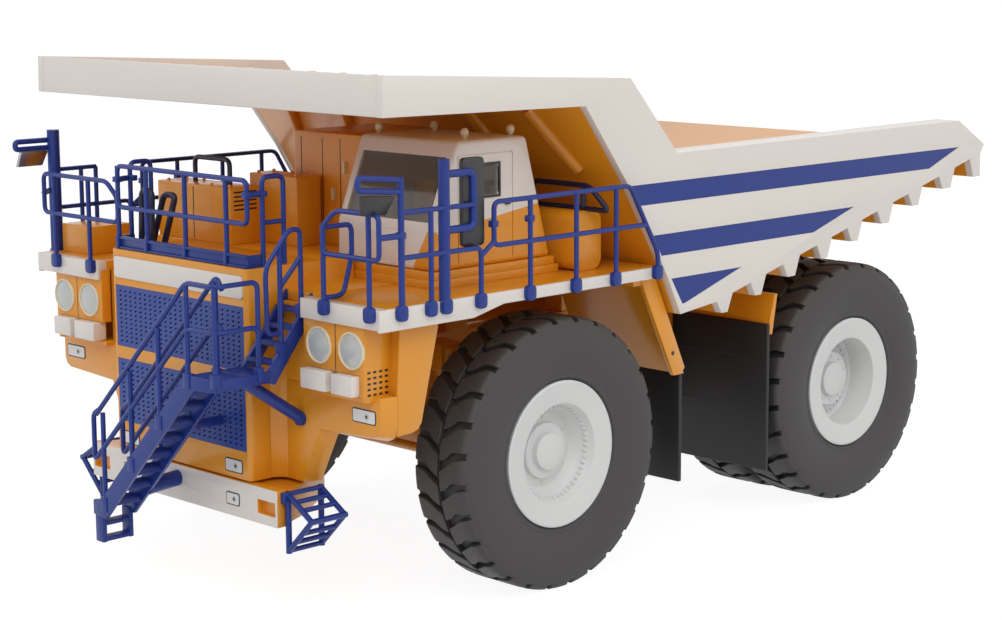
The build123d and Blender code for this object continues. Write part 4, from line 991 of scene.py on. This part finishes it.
shape = bmesh.new()
add_across(shape, round_corners(TALL_PLATE, 1.3), (RAIL_X - 2.3, RAIL_X - 0.9))
add_solid(shape, tilted_plate(SMALL_LEFT, RAIL_X - 1.2, (-1.3, 0.0), 0.35, 99.0))
keep(bevelled(object_from(shape, "mirror_left_plates"), CAST_EDGE), "mirror_left", [mirror_plastic])
shape = bmesh.new()
add_solid(shape, tilted_plate(SMALL_RIGHT, 0.6 - RAIL_X, (-0.6, 0.6), 0.3, 103.0))
keep(bevelled(object_from(shape, "mirror_right_plate"), 0.2 * MM), "mirror_right", [hoist_steel])

# The hood's own railing, its toe board and the gate on each side
HOOD_RAIL_Y = HOOD_FRONT + 1.4
HOOD_RAIL_HIGH = 104.3
HOOD_RAIL_MID = 94.0
HOOD_RAIL_HALF = (HOOD_RAIL_MID + HOOD_RAIL_HIGH) / 2
HOOD_POST_LOW = HOOD_TOP + 0.2
HOOD_RAIL_X = HOOD_HALF - 0.8
HOOD_LOOP_IN = 1.0 - HOOD_RAIL_X
HOOD_POSTS = (HOOD_LOOP_IN, -13.5, 2.3, 18.5)
GATE_Y = (HOOD_RAIL_Y + 4.5, HOOD_RAIL_Y + 10.8)
GATE_HIGH = HOOD_RAIL_HIGH + 0.5
LINK_Z = HOOD_RAIL_HIGH - 3.4
LINK_HALF = 0.95
TOE_Z = (HOOD_TOP, HOOD_TOP + 3.2)
solids, tubes = bmesh.new(), bmesh.new()
add_box(solids, (-HOOD_RAIL_X, HOOD_RAIL_X), (HOOD_RAIL_Y - 0.1, HOOD_RAIL_Y + 0.5), TOE_Z)
for z in (TOE_Z[0] + 0.35, TOE_Z[1] - 0.35):
    add_box(solids, (-HOOD_RAIL_X, HOOD_RAIL_X), (HOOD_RAIL_Y - 0.6, HOOD_RAIL_Y), (z - 0.3, z + 0.3))
add_tube(tubes, [(x, HOOD_RAIL_Y, z) for x, z in (
    (HOOD_RAIL_X, HOOD_RAIL_HALF), (HOOD_RAIL_X, HOOD_RAIL_HIGH), (HOOD_LOOP_IN, HOOD_RAIL_HIGH),
    (HOOD_LOOP_IN, HOOD_RAIL_MID), (HOOD_RAIL_X, HOOD_RAIL_MID), (HOOD_RAIL_X, HOOD_RAIL_HALF),
)])
for x in HOOD_POSTS:
    add_tube(tubes, [(x, HOOD_RAIL_Y, HOOD_POST_LOW), (x, HOOD_RAIL_Y, HOOD_RAIL_HIGH)])
    bracket_y = (HOOD_RAIL_Y - 0.75, HOOD_RAIL_Y + 0.4)
    add_box(solids, (x - 0.6, x + 0.6), bracket_y, (TOE_Z[0], TOE_Z[1] + 0.2))
for name, sign in sides():
    x = sign * HOOD_RAIL_X
    side_toe_x = span(sign, HOOD_RAIL_X - 0.7, HOOD_RAIL_X + 0.1)
    add_box(solids, side_toe_x, (HOOD_RAIL_Y, GATE_Y[0] + 0.5), (TOE_Z[0], TOE_Z[1] - 0.1))
    add_tube(tubes, [(x, y, z) for y, z in (
        (GATE_Y[0], HOOD_POST_LOW), (GATE_Y[0], GATE_HIGH), (GATE_Y[1], GATE_HIGH),
        (GATE_Y[1], HOOD_POST_LOW),
    )])
    add_tube(tubes, [(x, y, HOOD_RAIL_MID) for y in GATE_Y])
    link_x = HOOD_RAIL_X if sign > 0 else HOOD_LOOP_IN
    add_tube(tubes, [(link_x, HOOD_RAIL_Y, LINK_Z), (x, GATE_Y[0], LINK_Z)], THICK_R)
    for y in (HOOD_RAIL_Y, GATE_Y[0]):
        add_box(
            solids, (link_x - LINK_HALF, link_x + LINK_HALF), (y - LINK_HALF, y + LINK_HALF),
            (LINK_Z - 0.7, LINK_Z + 0.7),
        )
keep(joined("hood_railing_bent", solids, tubes, BAR_EDGE), "hood_railing", [blue_plastic])

# Blue hoops on the front box and the hood, and the frame that stands on the tank, in painted shade: a
# darkened copy of the railing blue
# Hoop columns: radius, y from the axle, then (x, z) from foot to foot
HOOPS = [
    (0.65, -39.0, [(-29.6, 98.0), (-29.6, 104.5), (-15.0, 104.5), (-15.0, 98.0)]),
    (0.8, -57.0, [(-24.2, HOOD_TOP), (-18.6, 97.0), (-13.8, 97.0), (-19.4, HOOD_TOP)]),
    (0.8, -60.6, [(-23.8, HOOD_TOP), (-23.0, 98.0), (-18.7, 98.0), (-19.5, HOOD_TOP)]),
    (0.7, 14.5, [(50.0, 93.4), (41.0, 93.4), (41.0, 99.2), (60.5, 99.2), (67.2, 93.4), (49.9, 93.4)]),
    (0.7, 14.5, [(58.5, 93.4), (58.5, 99.2)]),
]
shape = bmesh.new()
for radius, y, points in HOOPS:
    add_tube(shape, [(x, at(y), z) for x, z in points], radius)
trim(object_from(shape, "hoops_in_painted_shade", TUBE_SHARP), "hood", [blue_painted_shade])

# Lower stair: deep stringers, lipped treads, post brackets, bent rails and the braces that hold it
STAIR_FRONT = at(-86.3)
STAIR_BACK = at(-77.0)
STAIR_LOW = (-7.0, 25.0)
STAIR_HIGH = (28.8, 61.2)
STAIR_END_X = STAIR_LOW[0] - 4.0
LANDING_OUT = 39.8
LANDING_BACK = at(-70.5)
LANDING_Z = STAIR_HIGH[1]
STRINGER_T = 1.0
TREADS = 8
HAND_H = 21.5
MID_H = 11.0
# Stringer outline columns: x, z
STRINGER = [
    (STAIR_END_X, 25.0), (-7.6, 25.6), (STAIR_HIGH[0] - 0.4, LANDING_Z + 0.3), (LANDING_OUT, LANDING_Z + 0.3),
    (LANDING_OUT, LANDING_Z - 2.6), (STAIR_HIGH[0] + 2.0, LANDING_Z - 3.2), (-6.0, 20.8), (STAIR_END_X, 21.4),
]


def on_stair(share):
    """X and height of the lower stair's line at a share of its length."""
    return [low + share * (high - low) for low, high in zip(STAIR_LOW, STAIR_HIGH)]


# Ridge columns of a tread: place of the first, step, half width, count
LOWER_RIDGES = (-1.8, 0.85, 0.16, 5)
STAIR_POSTS = (0.02, 0.35, 0.68, 1.0)
LANDING_RAIL_X = LANDING_OUT - 0.5
LANDING_POST_Y = LANDING_BACK - 3.0
STAIR_RAIL_Y = (STAIR_FRONT + 0.5, STAIR_BACK - 0.5)
STAIR_FOOT_X = STAIR_LOW[0] - 2.0
HANGER_LOW = 14.6
# Plate spans in x, y and z: the lowest step, the landing and its edge
STAIR_PLATES = [
    ((STAIR_END_X + 0.2, STAIR_LOW[0]), (STAIR_FRONT + 0.2, STAIR_BACK - 0.2), (24.0, 24.8)),
    (
        (STAIR_HIGH[0] - 0.5, LANDING_OUT - 0.3), (STAIR_FRONT + 0.3, LANDING_BACK),
        (LANDING_Z - 0.8, LANDING_Z),
    ),
    (
        (LANDING_OUT - 0.9, LANDING_OUT + 0.15), (STAIR_FRONT + 0.15, LANDING_BACK),
        (LANDING_Z - 2.4, LANDING_Z + 0.15),
    ),
]
# Brace columns: both ends, radius
STAIR_BRACES = [
    ((-1.0, STAIR_BACK - 0.5, 28.2), (-1.0, BUMPER_FRONT + 0.2, 29.0), 2.0),
    ((16.0, STAIR_BACK - 0.5, 46.0), (16.0, HOOD_FRONT + 0.2, 46.0), 1.2),
    ((34.3, at(-75.5), LANDING_Z - 1.4), (35.6, MASK_Y[0] - 0.6, 48.4), 1.5),
]
STRUT_FOOT = [(-1.3, 0), (-1.2, 1.6), (0.3, 1.8), (0.3, 0)]
solids, tubes = bmesh.new(), bmesh.new()
for y in (STAIR_FRONT, STAIR_BACK - STRINGER_T):
    add_along(solids, STRINGER, (y, y + STRINGER_T))
stair_y = (STAIR_FRONT + 0.3, STAIR_BACK - 0.3)
first, pitch, half_width, count = LOWER_RIDGES
for step in range(TREADS):
    x, z = on_stair((step + 0.55) / TREADS)
    add_box(solids, (x - 2.0, x + 1.9), stair_y, (z - 2.2, z - 1.6))
    for ridge in range(count):
        ridge_x = x + first + pitch * ridge
        add_box(solids, (ridge_x - half_width, ridge_x + half_width), stair_y, (z - 1.7, z - 1.25))
    add_box(solids, (x + 1.5, x + 2.0), stair_y, (z - 2.9, z - 1.5))
for spans in STAIR_PLATES:
    add_box(solids, *spans)
front_y, back_y = STAIR_RAIL_Y
for y, y_span in (
    (front_y, (STAIR_FRONT - 0.25, front_y + 0.8)), (back_y, (back_y - 0.8, STAIR_BACK + 0.25)),
):
    for share in STAIR_POSTS:
        x, z = on_stair(share)
        add_tube(tubes, [(x, y, z - 1.5), (x, y, z + HAND_H)])
        add_box(solids, (x - 1.3, x + 1.3), y_span, (z - 3.0, z + 0.6))
for rise in (MID_H, HAND_H):
    low, high = STAIR_LOW[1] + rise, LANDING_Z + rise
    top_x = STAIR_HIGH[0] + 0.6
    add_tube(tubes, [
        (STAIR_FOOT_X, front_y, low), (STAIR_HIGH[0], front_y, high), (LANDING_RAIL_X, front_y, high),
        (LANDING_RAIL_X, LANDING_POST_Y, high), (LANDING_RAIL_X, LANDING_POST_Y, LANDING_Z - 1.0),
    ])
    add_tube(tubes, [(x, back_y, z) for x, z in (
        (STAIR_FOOT_X, low), (top_x, high + 0.6), (top_x + 2.0, high - 2.4),
    )])
add_tube(tubes, [(LANDING_RAIL_X, front_y, z) for z in (LANDING_Z - 1.0, LANDING_Z + HAND_H)])
for y in (front_y, LANDING_POST_Y):
    collar_x = (LANDING_RAIL_X - 1.2, LANDING_RAIL_X + 0.9)
    add_box(solids, collar_x, (y - 0.9, y + 1.0), (LANDING_Z - 1.6, LANDING_Z + 1.6))
low, high = STAIR_LOW[1] + MID_H, STAIR_LOW[1] + HAND_H
for y in STAIR_RAIL_Y:
    add_tube(tubes, [(STAIR_FOOT_X + x, y, z) for x, z in (
        (1.5, low + 1.5), (-1.2, low - 1.2), (-1.2, high), (1.5, high + 1.5),
    )])
step_x = (STAIR_FOOT_X - 1.6, STAIR_FOOT_X + 1.6)
for y in (STAIR_FRONT + 0.2, STAIR_BACK - 1.4):
    add_box(solids, step_x, (y, y + 1.2), (HANGER_LOW, 22.0))
rung_y = (STAIR_FRONT + 0.4, STAIR_BACK - 0.4)
for z in (HANGER_LOW, HANGER_LOW + 4.0):
    add_box(solids, (step_x[0] + 0.15, step_x[1] - 0.15), rung_y, (z + 0.1, z + 1.2))
for start, end, radius in STAIR_BRACES:
    add_tube(tubes, [start, end], radius)
add_lathe(tubes, STRUT_FOOT, (35.8, MASK_Y[0], 48.0), "Y", 20)
keep(joined("lower_stair_bent", solids, tubes, BAR_EDGE), "lower_stair", [blue_plastic])

# Upper stair: stringers, ridged treads and one bent rail
UPPER_X = (28.9, 39.2)
GAP_FLOOR_FRONT = at(-57.0)
UPPER_TREADS = 4
UPPER_POST = -66.4
UPPER_END = -60.2
# Upper rail and stringer columns: y from the axle, z
UPPER_RAIL = [
    (UPPER_POST, 69.8), (-70.4, 69.8), (-70.6, 85.4), (-63.5, 93.6), (UPPER_END, 93.6), (UPPER_END, 74.0),
]
UPPER_STRINGER = [
    (-70.5, LANDING_Z + 0.4), (-70.5, LANDING_Z - 2.4), (-68.8, LANDING_Z - 3.2), (-57.0, DECK_TOP - 5.0),
    (-57.0, DECK_TOP + 0.3),
]
UPPER_RIDGES = (-1.0, 0.8, 0.15, 4)
solids, tubes = bmesh.new(), bmesh.new()
rise, run = DECK_TOP - LANDING_Z, GAP_FLOOR_FRONT - LANDING_BACK
for x in (UPPER_X[0], UPPER_X[1] - STRINGER_T):
    add_across(solids, UPPER_STRINGER, (x, x + STRINGER_T))
tread_x = (UPPER_X[0] + 0.3, UPPER_X[1] - 0.3)
first, pitch, half_width, count = UPPER_RIDGES
for step in range(UPPER_TREADS):
    share = (step + 0.7) / (UPPER_TREADS + 0.5)
    y, z = LANDING_BACK + share * run, LANDING_Z + share * rise
    add_box(solids, tread_x, (y - 1.2, y + 1.6), (z - 1.3, z - 0.6))
    for ridge in range(count):
        ridge_y = y + first + pitch * ridge
        add_box(solids, tread_x, (ridge_y - half_width, ridge_y + half_width), (z - 0.7, z - 0.2))
x = UPPER_X[1] - 0.5
add_side_bar(tubes, x, UPPER_RAIL, turn=2.4)
add_side_bar(tubes, x, [(UPPER_POST, 65.0), (UPPER_POST, 90.2)])
add_side_bar(tubes, x, [(UPPER_POST, 80.6), (UPPER_END, 87.0)])
for y, z in ((UPPER_POST, 66.0), (UPPER_END, 74.5)):
    add_box(solids, (x - 0.9, x + 0.9), (at(y) - 1.2, at(y) + 1.2), (z - 1.6, z + 1.6))
keep(joined("upper_stair_bent", solids, tubes, BAR_EDGE), "upper_stair", [blue_plastic])

# Step cages: wedges of bar with three rungs on each slope
CAGE_X = (38.4, 47.0)
CAGE_Y = (BUMPER_FRONT + 3.0, BUMPER_FRONT + 13.0)
CAGE_Z = (17.5, 31.2)
CAGE_TIP_Z = 26.0
CAGE_RUNGS = (0.0, 0.3, 0.6)
solids, tubes = bmesh.new(), bmesh.new()
for name, sign in sides():
    x, out = (sign * value for value in CAGE_X)
    for y in CAGE_Y:
        add_tube(tubes, [(x, y, CAGE_Z[0] - 0.6), (x, y, CAGE_Z[1] + 0.6)], THICK_R)
        add_tube(tubes, [(x, y, CAGE_Z[1]), (out, y, CAGE_TIP_Z), (x, y, CAGE_Z[0])], 0.7, 0.4)
    for end_z in CAGE_Z:
        for share in CAGE_RUNGS:
            rung_x, rung_z = x + share * (out - x), end_z + share * (CAGE_TIP_Z - end_z)
            add_tube(tubes, [(rung_x, CAGE_Y[0], rung_z), (rung_x, CAGE_Y[1], rung_z)])
    add_tube(tubes, [(out, CAGE_Y[0] - 0.5, CAGE_TIP_Z), (out, CAGE_Y[1] + 0.5, CAGE_TIP_Z)], THICK_R)
    add_box(solids, span(sign, 37.8, 39.0), (BUMPER_FRONT + 1.2, CAGE_Y[0] + 0.6), (29.0, 31.8))
keep(joined("step_cages_bent", solids, tubes, BAR_EDGE), "step_cages", [blue_plastic])

# Tyres: smooth sidewalls up to a notched shoulder, and 28 pairs of hooked lugs
TREAD_R = 34.2
PITCHES = 28
# Carcass columns: x from the tyre's middle, radius
CARCASS = [
    (7.5, 17.2), (7.5, 18.5), (7.9, 18.9), (8.35, 19.2), (8.45, 19.6), (8.3, 20.0), (8.6, 21.0), (9.05, 23.0),
    (9.32, 25.2), (9.4, 27.2), (9.34, 29.2), (9.15, 31.0), (8.85, 32.5), (8.45, 33.0), (7.6, 32.7),
    (5.0, 32.5), (0.0, 32.5),
]
# Lug columns: x, radius, place along the tread, half width along the tread
LUG = [
    (0.35, 34.2, -2.3, 2.55), (2.4, 34.2, -1.3, 2.75), (4.2, 34.2, 0.2, 2.6), (5.4, 34.2, 0.75, 2.75),
    (7.3, 34.15, 1.0, 3.0), (8.1, 33.9, 1.05, 3.0), (8.62, 33.35, 1.1, 2.95), (8.85, 32.6, 1.1, 2.85),
]
LUG_COLUMNS = 4
LUG_DEPTH = 2.0
LUG_TAPER = 0.9
TYRE_STEPS = 112
RIM_STEPS = 96


def lug_pair():
    """One lug on each half of the tread, half a pitch apart."""
    shape = bmesh.new()
    pitch = 2 * math.pi * TREAD_R / PITCHES
    for half, shift in ((1, 0.0), (-1, pitch / 2)):
        layers = []
        for depth, taper in ((0.0, 1.0), (LUG_DEPTH, LUG_TAPER)):
            layer = []
            for x, radius, place, half_width in LUG:
                row = []
                for column in range(LUG_COLUMNS):
                    along = place + shift + half_width * (2 * column / (LUG_COLUMNS - 1) - 1)
                    angle, r = along / TREAD_R, radius - depth
                    row.append(shape.verts.new((
                        half * x * taper * MM, r * math.sin(angle) * MM, r * math.cos(angle) * MM,
                    )))
                layer.append(row)
            layers.append(layer)
        top, bottom = layers
        rows, columns = len(LUG), LUG_COLUMNS
        for layer in layers:
            for i in range(rows - 1):
                for j in range(columns - 1):
                    shape.faces.new((layer[i][j], layer[i + 1][j], layer[i + 1][j + 1], layer[i][j + 1]))
        border = [(i, 0) for i in range(rows)] + [(rows - 1, j) for j in range(1, columns)]
        border += [(i, columns - 1) for i in range(rows - 2, -1, -1)]
        border += [(0, j) for j in range(columns - 2, 0, -1)]
        for (i, j), (k, m) in zip(border, border[1:] + border[:1]):
            shape.faces.new((top[i][j], top[k][m], bottom[k][m], bottom[i][j]))
    return shape


def add_tyre(shape, centre):
    """A tyre round the axle through centre."""
    outline = [(-x, radius) for x, radius in CARCASS] + [(x, radius) for x, radius in reversed(CARCASS[:-1])]
    add_lathe(shape, outline + [outline[0]], centre, steps=TYRE_STEPS)
    add_repeats(shape, lug_pair(), AROUND_AXLE, {
        "Columns": PITCHES, "Centre": [value * MM for value in centre], "Material": tyre_rubber,
    })


def node_centre(node):
    """The middle of a CAD node, in mm."""
    low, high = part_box(node)
    return (low + high) / 2 / MM


TWIN_STEP = 21.4
TYRE_OFFSETS = {"front_tyre": (0.0,), "rear_tyres": (-TWIN_STEP / 2, TWIN_STEP / 2)}
for name, sign in sides():
    for wheel, offsets in TYRE_OFFSETS.items():
        node = f"{wheel}_{name}"
        shape = bmesh.new()
        middle = node_centre(node)
        for offset in offsets:
            add_tyre(shape, (middle.x + offset, middle.y, middle.z))
        bmesh.ops.remove_doubles(shape, verts=shape.verts, dist=SAME_POINT)
        keep(bevelled(object_from(shape, f"{node}_treaded"), FINE_EDGE, 1), node, [tyre_rubber])

# Rims: turned forms with rings of small studs
BEAD_R = 17.2
FLANGE_R = 18.4
# Rim outline columns: x outwards from the wheel's middle, radius
RIM_EDGE = [
    (7.6, 12.6), (7.75, 13.0), (8.15, BEAD_R), (8.35, 17.9), (8.2, FLANGE_R), (7.5, FLANGE_R), (7.5, BEAD_R),
]
FRONT_RIM = [
    (4.2, 0), (4.4, 4.2), (4.2, 4.6), (2.9, 4.7), (2.9, 6.6), (2.7, 7.0), (1.6, 7.3), (1.3, 9.4), (2.0, 10.0),
    (6.8, 12.2), *RIM_EDGE, (-7.5, BEAD_R), (-7.5, FLANGE_R), (-8.4, FLANGE_R), (-8.4, 15.7), (6.0, 15.7),
    (5.6, 13.2), (0.6, 10.2), (0.6, 3.05), (3.9, 3.05), (3.9, 0),
]
REAR_RIM = [
    (2.8, 0), (3.0, 4.4), (2.8, 4.8), (1.5, 5.0), (1.5, 7.6), (1.2, 8.0), (-0.8, 8.2), (-0.8, 11.6),
    (-0.3, 12.2), (6.8, 12.4), *RIM_EDGE, (-28.9, BEAD_R), (-28.9, FLANGE_R), (-29.8, FLANGE_R),
    (-29.8, 15.7), (6.0, 15.7), (6.0, 13.8), (-2.7, 13.8), (-2.7, 3.05), (2.4, 3.05), (2.4, 0),
]
# Stud columns: count, distance from the axle, radius, height, x of the face from the wheel's middle
FRONT_STUDS = [(48, 11.5, 0.42, 0.75, 5.3), (6, 8.4, 0.4, 0.5, 1.4)]
REAR_STUDS = [(36, 10.4, 0.42, 0.5, -0.8), (10, 6.4, 0.35, 0.4, 1.5)]
# Wheel columns: outline, studs, x of the wheel's middle
RIMS = {"front_rim": (FRONT_RIM, FRONT_STUDS, 56.7), "rear_rim": (REAR_RIM, REAR_STUDS, 53.7)}


def stud(distance, radius, height, sign):
    """A small round stud that points outwards, at its distance over the axle."""
    shape = bmesh.new()
    outline = [(-0.6, radius), (height * 0.6, radius), (height, radius * 0.6), (height, 0)]
    add_lathe(shape, [(sign * x, r) for x, r in outline], (0, 0, distance), steps=10)
    return shape


for name, sign in sides():
    for wheel, (outline, rings, wheel_x) in RIMS.items():
        node = f"{wheel}_{name}"
        middle = node_centre(node)
        centre = (sign * wheel_x, middle.y, middle.z)
        shape = bmesh.new()
        add_lathe(shape, [(sign * x, radius) for x, radius in outline], centre, steps=RIM_STEPS)
        for count, distance, radius, height, face in rings:
            add_repeats(shape, stud(distance, radius, height, sign), AROUND_AXLE, {
                "Columns": count, "Centre": ((centre[0] + sign * face) * MM, centre[1] * MM, centre[2] * MM),
                "Material": rim_plastic,
            })
        keep(object_from(shape, f"{node}_turned"), node, [rim_plastic])

# Canopy ribs and front wall braces, on the dump body
CANOPY_RIB = [(-59.6, 124.4), (-59.6, 127.0), (-23.0, 127.0), (-21.0, 123.2)]
# Brace columns: x, y from the axle and z of the top, then of the foot
WALL_BRACES = [((47.5, 6.1, 118.0), (54.0, 17.9, 102.5)), ((24.0, 6.1, 118.0), (30.5, 17.9, 102.5))]
RIB_STEP = 12.0
RIB_HALF = 0.7
BRACE_R = 1.8
solids, tubes = bmesh.new(), bmesh.new()
for step in range(-5, 6):
    add_across(solids, CANOPY_RIB, (RIB_STEP * step - RIB_HALF, RIB_STEP * step + RIB_HALF))
for name, sign in sides():
    for brace in WALL_BRACES:
        add_tube(tubes, [(sign * x, at(y), z) for x, y, z in brace], BRACE_R)
trim(joined("body_ribs", solids, tubes, 0.2 * MM), "tub", [orange_paint])

# Seams of the rubber flaps, and the dark hole in each rear flange
REAR_FLAP_FACE = at(84.0) - 1.2
FLAP_SEAM_Z = (32.0, 46.0)
shape = bmesh.new()
for name, sign in sides():
    for z in FLAP_SEAM_Z:
        add_box(shape, span(sign, 29.2, 63.0), (REAR_FLAP_FACE - 0.05, REAR_FLAP_FACE + 0.3), (z, z + 0.25))
    centre = (sign * (FLANGE_X + 0.4), at(41.0), 54.0)
    add_lathe(shape, [(-0.2, 0.6), (sign * 0.05, 0.6), (sign * 0.06, 0)], centre, "X", 16)
trim(object_from(shape, "flap_seams"), "flaps", [black_plastic])

# Floor, lights, world and camera
FLOOR_HALF = 6.0
floor_mesh = bpy.data.meshes.new("studio_floor")
floor_mesh.from_pydata(
    [(x, y, 0) for x, y in outline_box((-FLOOR_HALF, FLOOR_HALF), (-FLOOR_HALF, FLOOR_HALF))], [],
    [(0, 1, 2, 3)],
)
floor = bpy.data.objects.new("studio_floor", floor_mesh)
bpy.context.scene.collection.objects.link(floor)


def seen_directly(nodes, links):
    """1 for what the camera sees, also in a mirror or through glass."""
    ray = nodes.new("ShaderNodeLightPath")
    seen = ray.outputs["Is Camera Ray"]
    for kind in ("Is Glossy Ray", "Is Transmission Ray"):
        seen = math_node(nodes, links, "MAXIMUM", seen, ray.outputs[kind])
    return seen


# The floor looks white, with a trace of the shadow that falls on it
FLOOR_GLOW = 0.80
GLOW_STRENGTH = 1.16
floor_finish = bpy.data.materials.new("studio_white")
floor_finish.use_nodes = True
floor_nodes, floor_links = floor_finish.node_tree.nodes, floor_finish.node_tree.links
floor_shader = floor_nodes["Principled BSDF"]
floor_shader.inputs["Base Color"].default_value = (*FLOOR_WHITE, 1.0)
floor_shader.inputs["Roughness"].default_value = 0.7
floor_shader.inputs["Specular IOR Level"].default_value = 0.1
glow = floor_nodes.new("ShaderNodeEmission")
glow.inputs["Strength"].default_value = GLOW_STRENGTH
seen = seen_directly(floor_nodes, floor_links)
floor_mix = floor_nodes.new("ShaderNodeMixShader")
floor_links.new(math_node(floor_nodes, floor_links, "MULTIPLY", seen, FLOOR_GLOW), floor_mix.inputs["Fac"])
floor_links.new(floor_shader.outputs[0], floor_mix.inputs[1])
floor_links.new(glow.outputs[0], floor_mix.inputs[2])
floor_links.new(floor_mix.outputs[0], floor_nodes["Material Output"].inputs["Surface"])
floor.data.materials.append(floor_finish)

# Light columns: name, place, size, power in watts
LIGHTS = [
    ("key_light", (0.9, -0.9, 1.3), 1.2, 10.5),
    ("fill_light", (1.4, 0.5, 0.9), 1.4, 5.2),
    ("left_light", (-1.0, -1.0, 0.9), 1.2, 4.0),
    ("back_light", (-0.7, 1.2, 1.2), 1.2, 4.2),
]
LIGHT_AIM = Vector((0.0, 0.0, 0.06))
for name, place, size, power in LIGHTS:
    lamp = bpy.data.lights.new(name, "AREA")
    lamp.shape = "DISK"
    lamp.size = size
    lamp.energy = power
    lamp_object = bpy.data.objects.new(name, lamp)
    lamp_object.location = place
    lamp_object.rotation_euler = (LIGHT_AIM - Vector(place)).to_track_quat("-Z", "Y").to_euler()
    bpy.context.scene.collection.objects.link(lamp_object)

WORLD_LIGHT = 0.40
world = bpy.data.worlds.new("studio")
bpy.context.scene.world = world
world.use_nodes = True
world_nodes, world_links = world.node_tree.nodes, world.node_tree.links
background = world_nodes["Background"]
background.inputs["Color"].default_value = (1, 1, 1, 1)
strength = world_nodes.new("ShaderNodeMapRange")
strength.inputs["To Min"].default_value = WORLD_LIGHT
strength.inputs["To Max"].default_value = 1.0
world_links.new(seen_directly(world_nodes, world_links), strength.inputs["Value"])
world_links.new(strength.outputs[0], background.inputs["Strength"])

azimuth, elevation, roll = (math.radians(a) for a in (CAMERA_AZIMUTH, CAMERA_ELEVATION, CAMERA_ROLL))
ahead = Vector((
    -math.sin(azimuth) * math.cos(elevation), math.cos(azimuth) * math.cos(elevation), -math.sin(elevation),
))
camera_data = bpy.data.cameras.new("photo_camera")
camera_data.lens = LENS_MM
camera_data.sensor_width = SENSOR_MM
camera_data.clip_start = CLIP_START
camera = bpy.data.objects.new("photo_camera", camera_data)
camera.location = CAMERA_PLACE
turned = ahead.to_track_quat("-Z", "Y").to_matrix() @ Matrix.Rotation(roll, 3, "Z")
camera.rotation_euler = turned.to_euler()
bpy.context.scene.collection.objects.link(camera)
bpy.context.scene.camera = camera
bpy.context.scene.view_settings.view_transform = "Standard"
